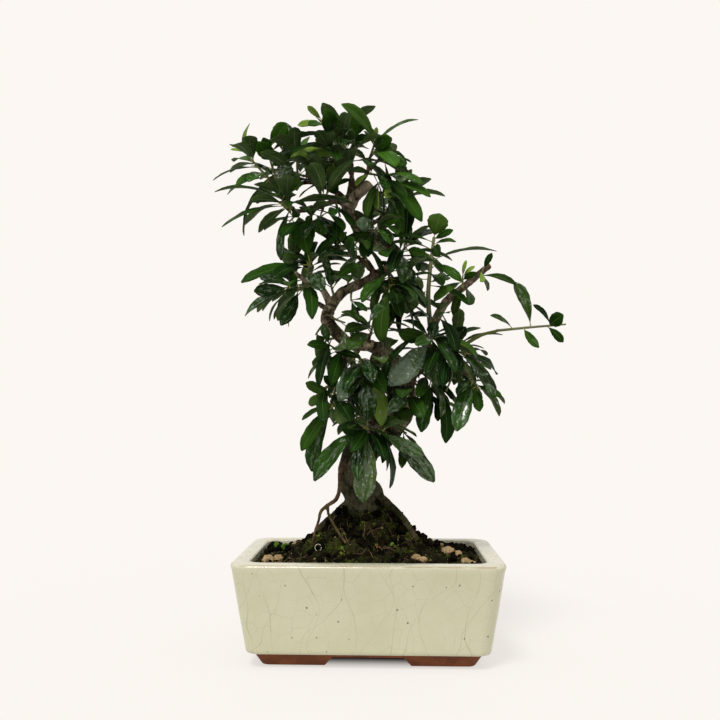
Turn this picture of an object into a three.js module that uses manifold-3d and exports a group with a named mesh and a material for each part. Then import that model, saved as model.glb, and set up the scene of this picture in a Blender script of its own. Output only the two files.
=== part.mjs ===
// Firethorn bonsai in a glazed stoneware pot. Millimetres, z up, x to the right, y to the back.
import * as THREE from "three";
import { mergeVertices } from "three/addons/utils/BufferGeometryUtils.js";
import Module from "manifold-3d";

const wasm = await Module();
wasm.setup();

// Driving sizes
const POT = {
  length: 203, // rim, left to right
  width: 132, // rim, front to back
  height: 77,
  corner: 15, // radius of the rim's outer corners
  rim: 13.5, // width of the flat rim
  taper: 12, // how far each wall leans in from rim to foot
  wall: 9,
  foot: 7, // height of the four corner feet
  band: 10, // top of the bare clay
  bandInset: 16, // of the clay band's top, from the rim's outline
  footInset: 22, // of the feet's soles, from the rim's outline
  floor: 15, // top of the floor inside
  frontGap: [53, 64], // gap between the feet on the long sides, at its top and on the table
  endGap: [34, 44], // the same on the short sides
  drainHole: 16,
  drainAt: 45, // each side of the middle
};
const LONGEST = 58; // a leaf's length
const NARROWEST = 0.26; // a leaf's width as a share of its length
const SPIRAL = 2.4; // turn in radians from one leaf to the next round the stem
const NODE_STEP = 2; // least distance between two leaves on one stem
const GAP = 0.35; // air between two pieces that touch
const SCREEN = { side: 26, thick: 1, holes: 2, hole: 6, pitch: 9 };
const SOIL = {
  level: 71.6, // of its surface, away from the mound
  floor: POT.floor + GAP,
  mound: 56, // height of the bell curve that shapes the mound
  top: 44, // height at which the mound is cut flat, under the tree
  spread: 38, // of the mound, left to right
  acrossSpread: 28, // the same, front to back
  middle: -2, // of the mound, left to right
  corner: 4.2, // by how much its lower edge is bevelled, clear of the pot's inner corner
  bevel: 5,
  arc: 5, // points round each corner
  shrink: [1, 0.85, 0.71, 0.58, 0.47, 0.37, 0.28, 0.19], // of the surface's rings, edge to middle
  lip: 0.8, // how far the soil stands back from the rim's inner edge
};
const BLADE_THICK = 0.7;
const BLADE_SUNK = 0.1; // how far a leaf's foot reaches past the middle of its stem
const STEM = { foot: 1.15, tip: 0.65, sides: 3 }; // a leafy stem's radii

// The eye that looks at the tree's front. Points of the tree are written from its own zero and as
// that eye sees them: x and z where the line of sight meets the plane through the zero, and y the
// real depth behind that plane.
const EYE = new THREE.Vector3(15.2, -649.1, 187.1);
const ZERO = new THREE.Vector3(2.2, 0.9, -1.9);

function place([x, y, z]) {
  const reach = 1 + y / (ZERO.y - EYE.y);
  return new THREE.Vector3(x, 0, z).add(ZERO).sub(EYE).multiplyScalar(reach).add(EYE);
}

// Lower and main trunk, foot to top: x, y, z, radius
const TRUNK = [
  [-9, 2, 54, 14], [-10, 0, 72, 20], [-10, 0, 90, 20], [-8, 0, 106, 18.4], [-6.5, 0, 120, 16],
  [-11, 0, 130, 14], [-13, 0, 142, 14.6], [-6.5, 2, 160.5, 14.6], [8, 4, 175, 14.5],
  [19, 5, 188, 15], [24, 4, 200, 12], [24.5, 1, 214, 9.6], [21, -4, 226, 7.6], [11, -9, 237.5, 5.8],
  [-2.4, -13, 243, 4.7], [-17, -16, 244, 4.5], [-27.5, -16, 252, 4.9], [-36.5, -14, 264, 5.5],
  [-33, -12, 276, 4.5], [-23, -9, 288, 4.2], [-9, -4, 294, 3.9], [4, 1, 300.6, 4.2],
  [15.4, 6, 308, 4.4], [21, 8, 317, 4.4], [15.4, 8, 325, 4.3], [4, 6, 333, 4.5],
  [-7.3, 4, 339.5, 4.8], [-15.4, 2, 347, 5.4], [-19.4, 0, 356.5, 5.8], [-21, -1, 364, 5.2],
];

// Branches, twigs, sawn stubs and roots, each from inside the wood that bears it
const BRANCHES = {
  cut_stub: [[-19, 0, 357, 5], [-12, -5, 368, 4.8], [-1, -9, 377.6, 4.6]],
  crown_twig: [[-20, -1, 360, 3], [-17, 2, 379, 2.3], [-17, 4, 395, 1.9], [-21, 4, 406, 1.4]],
  crown_right: [[-18, 0, 366, 2.4], [-4, 4, 386, 1.9], [-2.4, 6, 396, 1.6], [0, 6, 403, 1.2]],
  left: [
    [-19, 0, 357, 3], [-29, -4, 363, 2.5], [-49, -10, 356.5, 2], [-61.6, -13, 355, 1.7],
    [-67, -14, 357, 1.4],
  ],
  upper_left: [
    [-20, 0, 361, 3], [-29, 5, 370, 2.6], [-49, 6, 379, 2.1], [-65.6, 2, 377, 1.8], [-85, -4, 381, 1.3],
  ],
  crown_back: [[-19, 2, 358, 2.8], [-14, 18, 372, 2.2], [-18, 34, 388, 1.6], [-21, 41, 400, 1.2]],
  crown_back_left: [[-29, 5, 370, 2], [-40, 24, 378, 1.7], [-57, 37, 385, 1.2]],
  right: [[24, 2, 204, 6], [35.6, -2, 225, 4.6], [43.7, -4, 241.5, 3.4], [48.6, -4, 256, 2.3]],
  sawn_end: [[47, -4, 254, 3.5], [60, -3, 278, 3.6], [76, 0, 291.7, 3.2], [96.4, 2, 308.7, 2.7]],
  far_right: [
    [43.7, -4, 240, 2.2], [56, -6, 240, 1.9], [70.5, -6, 241.5, 1.8], [88, -4, 251, 1.5],
    [102, -3, 255, 1.3],
  ],
  fork: [[4, 1, 301, 3], [-4, -4, 309.5, 2.4], [-12, -7, 317, 1.6]],
  left_woody: [[-34, -12, 276, 3.2], [-41, -17, 290, 2.6], [-53.5, -19, 296, 2.1], [-63, -20, 304, 1.7]],
  middle: [[-4, -13, 243, 2.2], [-2, -20, 250, 1.5], [0, -23, 256, 1.1]],
  low_right: [[54, -6, 240, 1.9], [62, -12, 231, 1.5], [72, -16, 223, 1.3], [78, -16, 219, 1.1]],
  low_front: [[8, 0, 178, 2.8], [2, -14, 180, 1.9], [-3, -24, 179, 1.4]],
  low_left: [[-20, -16, 245, 2.3], [-23, -20, 229, 1.7], [-28, -22, 213, 1.4], [-30, -24, 206, 1.1]],
  low_middle: [[11, -9, 238, 2.6], [5, -18, 230, 1.7], [0, -22, 227, 1.3]],
  back_low: [[20, 6, 196, 3], [12, 24, 206, 2.2], [4, 38, 213, 1.4]],
  back_right: [[24, 4, 210, 3], [40, 22, 222, 2.1], [55, 35, 235, 1.4]],
  back_middle: [[4, 1, 300, 2.8], [2, 18, 304, 2], [-3, 33, 313, 1.4]],
  back_left: [[-34, -12, 272, 2.8], [-44, 6, 278, 1.9], [-54, 23, 288, 1.4]],
  back_upper: [[-7, 4, 340, 2.6], [4, 20, 346, 1.9], [15, 31, 355, 1.3]],
  back_foot: [[8, 4, 176, 3], [6, 24, 184, 2], [2, 36, 186, 1.4]],
  right_root: [
    [2, -4, 124, 4], [14, -8, 114, 3.6], [23.5, -10, 105, 3], [30, -12, 96, 2.6], [36, -14, 86, 2],
  ],
  left_root: [[-18, 2, 116, 4.5], [-30, 0, 106, 3.6], [-40, -2, 98, 2.8], [-50, -2, 86, 2]],
  back_root: [[-6, 12, 116, 5], [0, 24, 104, 3.8], [10, 34, 92, 2.6], [16, 42, 78, 2]],
  back_left_root: [[-16, 10, 114, 4.5], [-28, 20, 102, 3.4], [-36, 28, 90, 2.4], [-42, 34, 78, 2]],
  aerial_root: [
    [-20, -9, 150, 2.4], [-25.5, -13, 140, 2], [-26, -16, 128, 1.9], [-29, -21, 119, 1.7],
    [-37, -24, 113.5, 1.6],
  ],
  aerial_left: [
    [-35, -23, 115, 1.5], [-41, -25, 109.5, 1.4], [-43, -26, 102, 1.2], [-46, -27, 93, 1.2],
    [-48, -28, 82, 1.1],
  ],
  aerial_right: [
    [-36, -24, 114, 1.4], [-35, -27, 107, 1.3], [-32, -30, 101, 1.2], [-28, -33, 94, 1.2],
    [-21, -36, 84, 1.1],
  ],
};

// Short thorns on the old wood: foot, then point
const THORNS = [
  [[-3, -2, 297], [-2, -8, 281]], [[-19, -10, 290], [-21, -16, 306]], [[20, 8, 317], [36, 4, 317]],
  [[-60, -20, 302], [-71, -24, 285]], [[30, 2, 215], [44, -4, 212]], [[44, -4, 246], [34, -10, 252]],
  [[-40, -8, 357], [-44, -14, 347]],
];

// Leafy shoots. line: the stem, from inside the wood. leaves: each one's place along the stem from
// 0 to 1, its tip x, y, z, and the width that shows from the front, less than 0 where its paler
// underside faces the eye. more: how many others stand round the stem, by the rule in moreLeaves.
const SHOOTS = {
  west_tip: {
    line: [[-84, -4, 381], [-96, -8, 394], [-106, -10, 406]],
    leaves: [
      [0.35, -132, -4, 381.6, 3], [0.15, -113, -22, 378, 3], [0.05, -102, -34, 381, 5],
      [0.05, -120, 8, 369.5, 3],
      [0.05, -107.7, -18, 335.5, -5], [0.5, -115, 20, 398, 5], [0.6, -102, -24, 419.7, -13],
      [0.8, -102, 6, 429.4, 4],
    ],
    more: 1,
  },
  west_top: {
    line: [[-78, 1, 379], [-84, 3, 397], [-86, 4, 411]],
    leaves: [
      [1, -71.3, -10, 429.4, 13], [0.9, -69.7, 14, 426, 6.5], [0.85, -90, -16, 416.5, 8],
      [0.5, -94, -18, 413, 13], [0.1, -65.6, -24, 390.5, 8], [0.35, -80, 30, 394, 7],
    ],
    more: 0,
  },
  north_west: {
    line: [[-60, 3, 378], [-62, 6, 394], [-60, 8, 409]],
    leaves: [[0.95, -75, -8, 413, 6], [0.9, -80, 14, 414, 3], [0.85, -80, -16, 394, 7]],
    more: 0,
  },
  spray_left: {
    line: [[-65, -14, 357], [-72, -17, 361], [-75, -20, 369]],
    leaves: [
      [0.7, -130.4, -20, 373.5, 3.2], [0.4, -102, -40, 363, -6.5], [0.3, -124, -12, 333, 5],
      [0.1, -94.8, -34, 338, -8], [0.05, -76, -22, 314.4, 6.5], [0.05, -64, -42, 351, 4],
      [0.6, -64, -38, 369.5, -5.5], [0.4, -16, -34, 358, -6.5], [0.8, -56, -24, 379, 5],
      [1, -61, -40, 386, 10],
    ],
    more: 0,
  },
  spray_inner: {
    line: [[-49, -10, 357], [-50, -18, 350], [-49, -24, 344]],
    leaves: [[0.4, -52.7, -40, 342.8, 5], [0.7, -37.3, -34, 336.3, 10]],
    more: 2,
  },
  crown_left: {
    line: [[-17, 4, 393], [-28, 2, 408], [-36, -2, 419], [-41, -4, 431]],
    leaves: [
      [1, -53.5, -8, 443.5, 5], [1, -61.6, -6, 427.5, 5], [0.85, -52.7, -28, 427, 3],
      [0.7, -39, -20, 440.8, 12],
      [0.4, -47, -14, 419, 6.5], [0.1, -67, -18, 402, 7], [0.3, -68, -4, 403.5, 3],
    ],
    more: 0,
  },
  crown_top: {
    line: [[-20, 4, 404], [-24, 3, 413], [-24, 2, 422]],
    leaves: [
      [1, -32.4, -8, 436, 7], [0.2, -13, -16, 435, 14.5], [0.4, -15.4, -24, 419.7, 5], [0.3, -4, -26, 418, 5],
      [0.2, -4, -30, 407.6, -5],
    ],
    more: 1,
  },
  crown_right: {
    line: [[-1, 6, 400], [2, 5, 410], [3, 4, 416]],
    leaves: [
      [0.6, -24, -4, 444.8, 10.5], [0.3, 38, 2, 431.9, 3.2],
      [0.1, 16.2, -20, 414.8, 13], [0.1, 17.8, -28, 401.9, 8], [0.05, 29, -12, 397, 10],
      [0.05, 19.4, -24, 387.3, 5],
    ],
    more: 0,
  },
  crown_low_right: {
    line: [[-4, 4, 386], [5, -6, 384], [12, -12, 378]],
    leaves: [
      [0.3, -20.3, -28, 389, -6.5], [0.4, 13, -38, 372.7, 8], [0.9, 29, -34, 365.4, 7],
      [0.6, 43, -14, 377.6, 4],
      [1, 48.6, -22, 366, 5], [1, 35.6, -4, 363.8, -5], [0.7, 41, -22, 345, 8], [0.95, -4, -32, 346, 7],
      [1, 13, -14, 340, 3.2],
    ],
    more: 0,
  },
  upper_left_inner: {
    line: [[-36, 5, 373], [-37, -4, 377], [-34, -10, 384]],
    leaves: [[0.2, -32, -26, 395, 9], [0.5, -50, -28, 392, 7], [0.8, -18, -24, 398, 6]],
    more: 0,
  },
  left_mid_up: {
    line: [[-53.5, -19, 296], [-52, -20, 306], [-51, -21, 313]],
    leaves: [
      [1, -60.8, -26, 346, 18], [1, -73, -30, 318.5, 3], [0.95, -107.7, -26, 295.8, 7],
      [0.7, -28.4, -30, 334.7, 5],
      [0.4, -39.7, -42, 290, 11], [0.6, -81, -34, 299.8, 5], [0.5, -47, 4, 330, 9],
    ],
    more: 0,
  },
  left_mid_low: {
    line: [[-50, -18, 294], [-60, -24, 289], [-68, -27, 291]],
    leaves: [
      [1, -97, -32, 288.5, 10], [1, -104.5, -28, 268, 7], [0.9, -64, -44, 302, 6],
      [0.5, -74.5, -38, 260, 10.5],
      [0.3, -69, -30, 259, 3.2], [0.2, -54, -44, 279.6, 6.5], [0.8, -92, -8, 300, 7],
    ],
    more: 1,
  },
  left_inner: {
    line: [[-30, -11, 281], [-33, -17, 291], [-34, -20, 300]],
    leaves: [[0.95, -38.9, -36, 317.6, 6.5], [0.5, -36.5, -44, 308, 7], [0.7, -9.7, -36, 309.5, 6.5]],
    more: 1,
  },
  fork: {
    line: [[-10, -6, 315], [-22, -10, 319], [-34, -12, 323]],
    leaves: [
      [0.3, -38, -34, 322.5, 5], [1, -26.7, -24, 355, 11], [0.9, -21, -34, 351, -5], [0.6, -44, 6, 340, 9],
      [0.2, -14, -36, 332, 8],
    ],
    more: 0,
  },
  centre_top: {
    line: [[4, 6, 333], [4, -8, 337], [3, -16, 340]],
    leaves: [
      [1, -12, -40, 345, 11], [1, 15.4, -46, 328, 7], [0.7, -7, -38, 316, 7], [0.5, 24, -22, 350, 6],
      [0.4, -24, -14, 332, 7],
    ],
    more: 0,
  },
  centre_right: {
    line: [[20, 8, 317], [25, 0, 321], [29, -5, 325]],
    leaves: [
      [0.3, 22, 34, 330, 5], [1, 34, 16, 344, 6], [0.3, 26, -40, 296.6, 11], [0.2, 12, -36, 304, -8],
      [0.8, 40, 26, 330, 8],
    ],
    more: 2,
  },
  centre_front: {
    line: [[12, 5, 306], [14, -12, 300], [15, -22, 292]],
    leaves: [[1, 7.3, -38, 246, 12], [0.9, 24, -46, 266, 10], [0.6, -8, -44, 280, 9], [0.5, 34, -40, 286, 9]],
    more: 1,
  },
  middle: {
    line: [[-1, -21, 252], [0, -24, 257], [1, -26, 263]],
    leaves: [
      [0.6, -24, -40, 271.5, 5.5], [0.5, -22, -50, 255, 5.5], [0.3, -20, -46, 248, 10.5],
      [0.5, 10.5, -52, 257.7, 4],
      [0.9, 5.7, -40, 290, 7],
    ],
    more: 0,
  },
  bend_front: {
    line: [[-16, -7, 291], [-17, -14, 285], [-17, -18, 280]],
    leaves: [[1, -4, -36, 271.5, 4], [1, -10.5, -38, 262, 5.5]],
    more: 0,
  },
  upright: {
    line: [[47.8, -4, 254], [46, -8, 282], [47.8, -8, 306], [51, -6, 332]],
    leaves: [
      [1, 56, -14, 351.7, 17], [1, 66.4, -22, 338, 5.5], [0.95, 69, -2, 329, 3], [0.9, 56, -32, 316, 9],
      [1, 9, 10, 346, 5], [0.75, 102, -8, 320, 3.2], [0.72, 73, -28, 295.8, 7], [0.6, 58, -38, 293, 4],
      [0.48, 78.6, -22, 278, 4], [0.88, 7, -24, 322, -3.2], [0.55, 0.8, -34, 288.5, 7],
      [0.42, 22, -34, 274, -16],
      [0.8, 30, 14, 322, 8], [0.5, 62, 20, 300, 8], [0.35, 30, 18, 290, 8],
    ],
    more: 1,
  },
  sawn_end: {
    line: [[84, 1, 298], [88, -6, 301], [91, -10, 306]],
    leaves: [[0.4, 117.5, -18, 293, 4], [1, 98, -14, 318.5, 5], [0.5, 94.8, -24, 288.5, 3]],
    more: 0,
  },
  sawn_middle: {
    line: [[72, 0, 289], [74, -8, 293], [74, -12, 299]],
    leaves: [
      [0.8, 85, -26, 303, 5], [0.7, 51, -30, 275.5, 7],
      [0.6, 66, -32, 268, 7], [0.4, 78, -34, 276, 4],
    ],
    more: 0,
  },
  far_right: {
    line: [[101, -3, 255], [129, -6, 257.7], [146, -8, 259], [157, -8, 260]],
    leaves: [
      [0.33, 116.6, -12, 295, 8], [0.15, 96.4, -18, 267.5, 3.2], [0.64, 131, -18, 276, 3.2],
      [0.64, 154.7, -20, 267.5, 11], [0.58, 154.7, -22, 249.6, 6.5], [0.25, 135, -20, 241.5, 6.5],
    ],
    more: 0,
  },
  low_right_front: {
    line: [[47, -4, 252], [48, -14, 250], [47, -22, 247]],
    leaves: [
      [1, 13.8, -44, 210.7, 18], [0.8, 53.5, -38, 210.7, 14], [0.7, 37, -46, 244.7, 9],
      [0.6, 71, -34, 239, 7],
      [0.4, 86.7, -14, 235.8, 7], [0.5, 22, -34, 253, 12],
    ],
    more: 0,
  },
  low_right_mid: {
    line: [[64, -6, 241], [70, -12, 238], [76, -14, 237]],
    leaves: [
      [0.3, 61.6, -34, 222, -10], [0.7, 72, -30, 221, 7], [1, 102, -18, 224.5, 7], [0.9, 80, -32, 247, 3],
      [1, 83.4, -34, 226, 3], [1, 90, 12, 226, 7],
    ],
    more: 1,
  },
  low_right_far: {
    line: [[76, -16, 220], [82, -20, 214], [85, -22, 208]],
    leaves: [
      [0.7, 105, -24, 201.8, 5.5], [1, 86.7, -34, 189.7, 8], [0.5, 68, -36, 173.5, 14],
      [0.3, 69, -44, 202.6, 7],
      [0.2, 86, 6, 196, 8],
    ],
    more: 1,
  },
  low_right_inner: {
    line: [[36, -2, 225], [44, -8, 218], [52, -12, 212]],
    leaves: [
      [1, 60.8, -22, 164.6, 9], [0.95, 56, -34, 185.6, 5], [1, 66.4, -36, 199.4, 4],
      [0.8, 39.7, -26, 172.7, 12],
      [0.6, 37, -36, 201.8, 9], [0.5, 43, -38, 210, 9],
    ],
    more: 1,
  },
  trunk_right: {
    line: [[27, 1, 208], [29, -10, 206], [30, -16, 203]],
    leaves: [[1, 41, -34, 184.8, 12], [0.9, 13.8, -38, 190.5, 10.5], [0.5, 24, -40, 216, 9]],
    more: 0,
  },
  left_low: {
    line: [[-22, -17, 241], [-28, -22, 240], [-35, -26, 244]],
    leaves: [
      [1, -40.5, -38, 261, 6.5], [1, -52.7, -44, 244, 7], [0.4, -52, -34, 216.4, 3.2],
      [0.3, -33, -34, 210.7, 10.5],
      [0.1, -21, -42, 233, 4], [0.8, -48, -4, 226, 8],
    ],
    more: 0,
  },
  left_low_tip: {
    line: [[-29, -23, 210], [-31, -27, 202], [-30, -30, 194]],
    leaves: [
      [0.1, -39, -40, 227, 7], [0.5, -54, -42, 213, 8], [0.6, -19.4, -44, 183, -16],
      [1, -56.7, -44, 182.4, 3.2],
      [1, -57.5, -36, 158, 11], [1, -49.4, -30, 137, 11], [0.3, -52, -6, 196, 8],
    ],
    more: 0,
  },
  low_middle: {
    line: [[1, -21, 228], [-5, -26, 232], [-10, -30, 231]],
    leaves: [
      [1, -26.7, -46, 198.6, 14], [0.9, -15, -38, 208, 11], [0.7, 0, -44, 208, 9], [0.4, 10.5, -44, 205, 11],
      [0.3, 8, -50, 178, 12], [0.8, -30, -34, 238, 6],
    ],
    more: 0,
  },
  low_front: {
    line: [[-2, -22, 179], [-4, -30, 178], [-5, -36, 175]],
    leaves: [
      [0.8, -4, -48, 210.7, 14.5], [1, -25, -50, 176.7, 11], [1, -7.3, -52, 116.8, 17],
      [0.9, -47, -46, 133.8, 12],
      [1, -16.2, -58, 158, 10],
    ],
    more: 0,
  },
  low_front_right: {
    line: [[2, -14, 180], [6, -24, 176], [8, -32, 173]],
    leaves: [
      [1, 42, -48, 154.8, 10.5], [1, 50, -46, 133, 13], [0.6, 8.9, -50, 152.4, 5], [0.5, 12, -34, 142, 5],
      [0.4, 14.6, -22, 137, 5.5], [0.4, 19.4, -40, 184.8, 8],
    ],
    more: 0,
  },
  back_low: { line: [[4, 37, 213], [-4, 50, 216], [-12, 60, 216]], leaves: [], more: 7 },
  back_right: { line: [[54, 34, 234], [64, 44, 240], [70, 52, 244]], leaves: [], more: 7 },
  back_middle: { line: [[-3, 32, 312], [-8, 44, 320], [-14, 56, 326]], leaves: [], more: 7 },
  back_left: { line: [[-53, 22, 287], [-62, 32, 292], [-68, 42, 294]], leaves: [], more: 7 },
  back_upper: { line: [[14, 30, 354], [20, 42, 360], [24, 50, 366]], leaves: [], more: 7 },
  crown_back: { line: [[-21, 40, 399], [-24, 50, 405], [-26, 58, 409]], leaves: [], more: 7 },
  crown_back_left: { line: [[-56, 36, 384], [-66, 46, 388], [-72, 54, 390]], leaves: [], more: 7 },
  back_foot: { line: [[3, 35, 186], [-4, 46, 190], [-10, 54, 192]], leaves: [], more: 6 },
};

// Pumice and pebbles in the soil: x, y, size, and how many lumps are grown together
const STONES = {
  pumice_left: [-77, -28, 6.3, 3],
  pumice_left_back: [-60, 8, 4, 2],
  pumice_right: [62, -8, 6, 3],
  pumice_right_back: [52, 22, 4.5, 2],
  pumice_front: [36, -38, 4.5, 3],
  pumice_corner: [74, -30, 4, 2],
  pebble_back: [-30, 38, 4, 1],
};

const GLAZE = { color: 0xcfc8a6, roughness: 0.35, metalness: 0 };
const BLACK_PLASTIC = { color: 0x1c1e1c, roughness: 0.7, metalness: 0 };
const EARTH = { color: 0x241d15, roughness: 0.95, metalness: 0 };
const BARK = { color: 0x5d4c3b, roughness: 0.9, metalness: 0 };
const PUMICE = { color: 0xb99a6b, roughness: 0.95, metalness: 0 };
const LEAF = { color: 0x22452a, roughness: 0.35, metalness: 0 };

// Seeded draws, so that every build grows the same tree
class Draws {
  constructor(seed) {
    this.state = seed >>> 0;
  }
  between(low, high) {
    this.state = (Math.imul(this.state, 1664525) + 1013904223) >>> 0;
    return low + ((high - low) * this.state) / 4294967296;
  }
}

// Closed skin over rings of equal count, each end closed by a fan
function loft(rings) {
  const count = rings[0].length;
  const points = rings.flat();
  const faces = [];
  for (let ring = 0; ring + 1 < rings.length; ring += 1) {
    for (let i = 0; i < count; i += 1) {
      const a = ring * count + i;
      const b = ring * count + ((i + 1) % count);
      faces.push([a, b, b + count], [a, b + count, a + count]);
    }
  }
  for (const [start, flip] of [[0, true], [(rings.length - 1) * count, false]]) {
    const ring = points.slice(start, start + count);
    const middle = ring.reduce((sum, point) => sum.add(point), new THREE.Vector3()).divideScalar(count);
    points.push(middle);
    for (let i = 0; i < count; i += 1) {
      const corners = [start + i, start + ((i + 1) % count), points.length - 1];
      faces.push(flip ? corners.reverse() : corners);
    }
  }
  return solidFrom(points, faces);
}

function solidFrom(points, faces) {
  const vertProperties = new Float32Array(points.flatMap((point) => [point.x, point.y, point.z]));
  let triVerts = new Uint32Array(faces.flat());
  const volume = faces.reduce((sum, [a, b, c]) => {
    return sum + points[a].dot(new THREE.Vector3().crossVectors(points[b], points[c]));
  }, 0);
  if (volume < 0) {
    triVerts = new Uint32Array(faces.flatMap(([a, b, c]) => [a, c, b]));
  }
  return new wasm.Manifold(new wasm.Mesh({ numProp: 3, vertProperties, triVerts }));
}

function solidOf(geometry) {
  geometry.deleteAttribute("normal");
  geometry.deleteAttribute("uv");
  const merged = mergeVertices(geometry, 1e-4);
  const vertProperties = new Float32Array(merged.attributes.position.array);
  const triVerts = new Uint32Array(merged.index.array);
  return new wasm.Manifold(new wasm.Mesh({ numProp: 3, vertProperties, triVerts }));
}

function largestBody(solid) {
  return solid.decompose().reduce((best, body) => (body.volume() > best.volume() ? body : best));
}

function meshOf(name, solid, look) {
  const { vertProperties, triVerts } = solid.getMesh();
  const geometry = new THREE.BufferGeometry();
  geometry.setAttribute("position", new THREE.BufferAttribute(new Float32Array(vertProperties), 3));
  geometry.setIndex(new THREE.BufferAttribute(new Uint32Array(triVerts), 1));
  const mesh = new THREE.Mesh(geometry, new THREE.MeshStandardMaterial({ ...look, flatShading: true }));
  mesh.name = name;
  return mesh;
}

// Outline of a rectangle with rounded corners at one height
function roundedRing(halfX, halfY, radius, z, perCorner) {
  const ring = [];
  for (let corner = 0; corner < 4; corner += 1) {
    const signX = corner === 0 || corner === 3 ? 1 : -1;
    const signY = corner < 2 ? 1 : -1;
    for (let i = 0; i < perCorner; i += 1) {
      const angle = (Math.PI / 2) * (corner + i / (perCorner - 1));
      const x = signX * (halfX - radius) + radius * Math.cos(angle);
      const y = signY * (halfY - radius) + radius * Math.sin(angle);
      ring.push(new THREE.Vector3(x, y, z));
    }
  }
  return ring;
}

// The pot's outline at a height, drawn in from the rim's outline
function potRing(inset, z, perCorner = 6) {
  const radius = Math.max(POT.corner - inset * 0.4, 3);
  return roundedRing(POT.length / 2 - inset, POT.width / 2 - inset, radius, z, perCorner);
}

function wallInset(z) {
  return POT.taper * (1 - z / POT.height);
}

function barAlongY(widths, height, length) {
  const outline = new THREE.Shape([
    new THREE.Vector2(-widths[1] / 2, -1),
    new THREE.Vector2(widths[1] / 2, -1),
    new THREE.Vector2(widths[0] / 2, height),
    new THREE.Vector2(-widths[0] / 2, height),
  ]);
  const bar = new THREE.ExtrudeGeometry(outline, { depth: length, bevelEnabled: false });
  return bar.translate(0, 0, -length / 2).rotateX(Math.PI / 2);
}

function makePot() {
  const { height, band, foot, floor, rim, wall } = POT;
  const inside = (z) => wallInset(z) + wall;
  let pot = loft([
    potRing(POT.footInset, 0),
    potRing(POT.bandInset + 0.5, band - 1),
    potRing(POT.bandInset - 0.5, band),
    potRing(wallInset(band) + 2, band + 0.4),
    potRing(wallInset(band) + 0.2, band + 3.5),
    potRing(wallInset(height - 3), height - 3),
    potRing(0, height - 1.8),
    potRing(0.7, height - 0.6),
    potRing(2.6, height),
    potRing(rim - 1.5, height),
    potRing(rim, height - 1.5),
    potRing(rim + 0.6, height - 9),
    potRing(inside(floor + 5), floor + 5),
    potRing(inside(floor) + 4, floor),
  ]);
  pot = pot.subtract(solidOf(barAlongY(POT.frontGap, foot, POT.width * 1.2)));
  pot = pot.subtract(solidOf(barAlongY(POT.endGap, foot, POT.length * 1.2).rotateZ(Math.PI / 2)));
  for (const side of [-1, 1]) {
    const hole = new THREE.CylinderGeometry(POT.drainHole / 2, POT.drainHole / 2, 20, 16);
    pot = pot.subtract(solidOf(hole.rotateX(Math.PI / 2).translate(side * POT.drainAt, 0, floor - 4)));
  }
  return pot;
}

function makeScreen() {
  const { side, thick, holes, hole, pitch } = SCREEN;
  let screen = solidOf(new THREE.BoxGeometry(side, side, thick));
  const middle = (holes - 1) / 2;
  for (let row = 0; row < holes; row += 1) {
    for (let column = 0; column < holes; column += 1) {
      const cutter = new THREE.BoxGeometry(hole, hole, thick * 2);
      cutter.translate((column - middle) * pitch, (row - middle) * pitch, 0);
      screen = screen.subtract(solidOf(cutter));
    }
  }
  return screen;
}

// Height of the soil's surface: level ground, the mound that carries the tree, and small lumps
function ground(x, y) {
  const across = (y * SOIL.spread) / SOIL.acrossSpread;
  const away = Math.hypot(x - SOIL.middle, across);
  const mound = Math.min(SOIL.top, SOIL.mound * Math.exp(-Math.pow(away / SOIL.spread, 1.6)));
  const lumps = 0.7 * Math.sin(x * 0.21 + 1) * Math.cos(y * 0.27) + 0.5 * Math.sin(x * 0.47 - y * 0.39);
  return SOIL.level + mound + lumps;
}

function makeSoil() {
  const inset = (z) => wallInset(z) + POT.wall + GAP;
  const rings = [
    potRing(inset(SOIL.floor) + SOIL.corner, SOIL.floor, SOIL.arc),
    potRing(inset(SOIL.floor + SOIL.bevel), SOIL.floor + SOIL.bevel, SOIL.arc),
  ];
  const edge = potRing(POT.rim + SOIL.lip + GAP, SOIL.level, SOIL.arc);
  for (const scale of SOIL.shrink) {
    rings.push(edge.map((point) => {
      const x = SOIL.middle + (point.x - SOIL.middle) * scale;
      return new THREE.Vector3(x, point.y * scale, ground(x, point.y * scale));
    }));
  }
  return loft(rings);
}

// A tapering round limb through points that carry a radius
function limb(points, sides, stepsPerPoint, swell = 0) {
  const centres = new THREE.CatmullRomCurve3(points.map(place), false, "catmullrom");
  const last = points.length - 1;
  const steps = last * stepsPerPoint;
  const rings = [];
  let across = new THREE.Vector3(0, 1, 0);
  for (let i = 0; i <= steps; i += 1) {
    const along = centres.getTangent(i / steps);
    across = across.clone().addScaledVector(along, -across.dot(along)).normalize();
    const third = new THREE.Vector3().crossVectors(along, across);
    const whole = Math.min(Math.floor((i / steps) * last), last - 1);
    const part = (i / steps) * last - whole;
    const radius = THREE.MathUtils.lerp(points[whole][3], points[whole + 1][3], part) + swell;
    let centre = centres.getPoint(i / steps);
    if (i === 0 || i === steps) {
      centre = centre.addScaledVector(along, i === 0 ? -swell : swell);
    }
    const ring = [];
    for (let side = 0; side < sides; side += 1) {
      const angle = (2 * Math.PI * side) / sides;
      ring.push(centre.clone().addScaledVector(across, radius * Math.cos(angle))
        .addScaledVector(third, radius * Math.sin(angle)));
    }
    rings.push(ring);
  }
  return loft(rings);
}

function makeWood(swell = 0) {
  const parts = [limb(TRUNK, 10, 1, swell)];
  for (const points of Object.values(BRANCHES)) {
    const thick = points[0][3];
    parts.push(limb(points, thick > 3.5 ? 7 : 5, 1, swell));
  }
  for (const [foot, point] of THORNS) {
    parts.push(limb([[...foot, 1.1], [...point, 0.35]], 3, 1, swell));
  }
  return largestBody(wasm.Manifold.union(parts));
}

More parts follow.
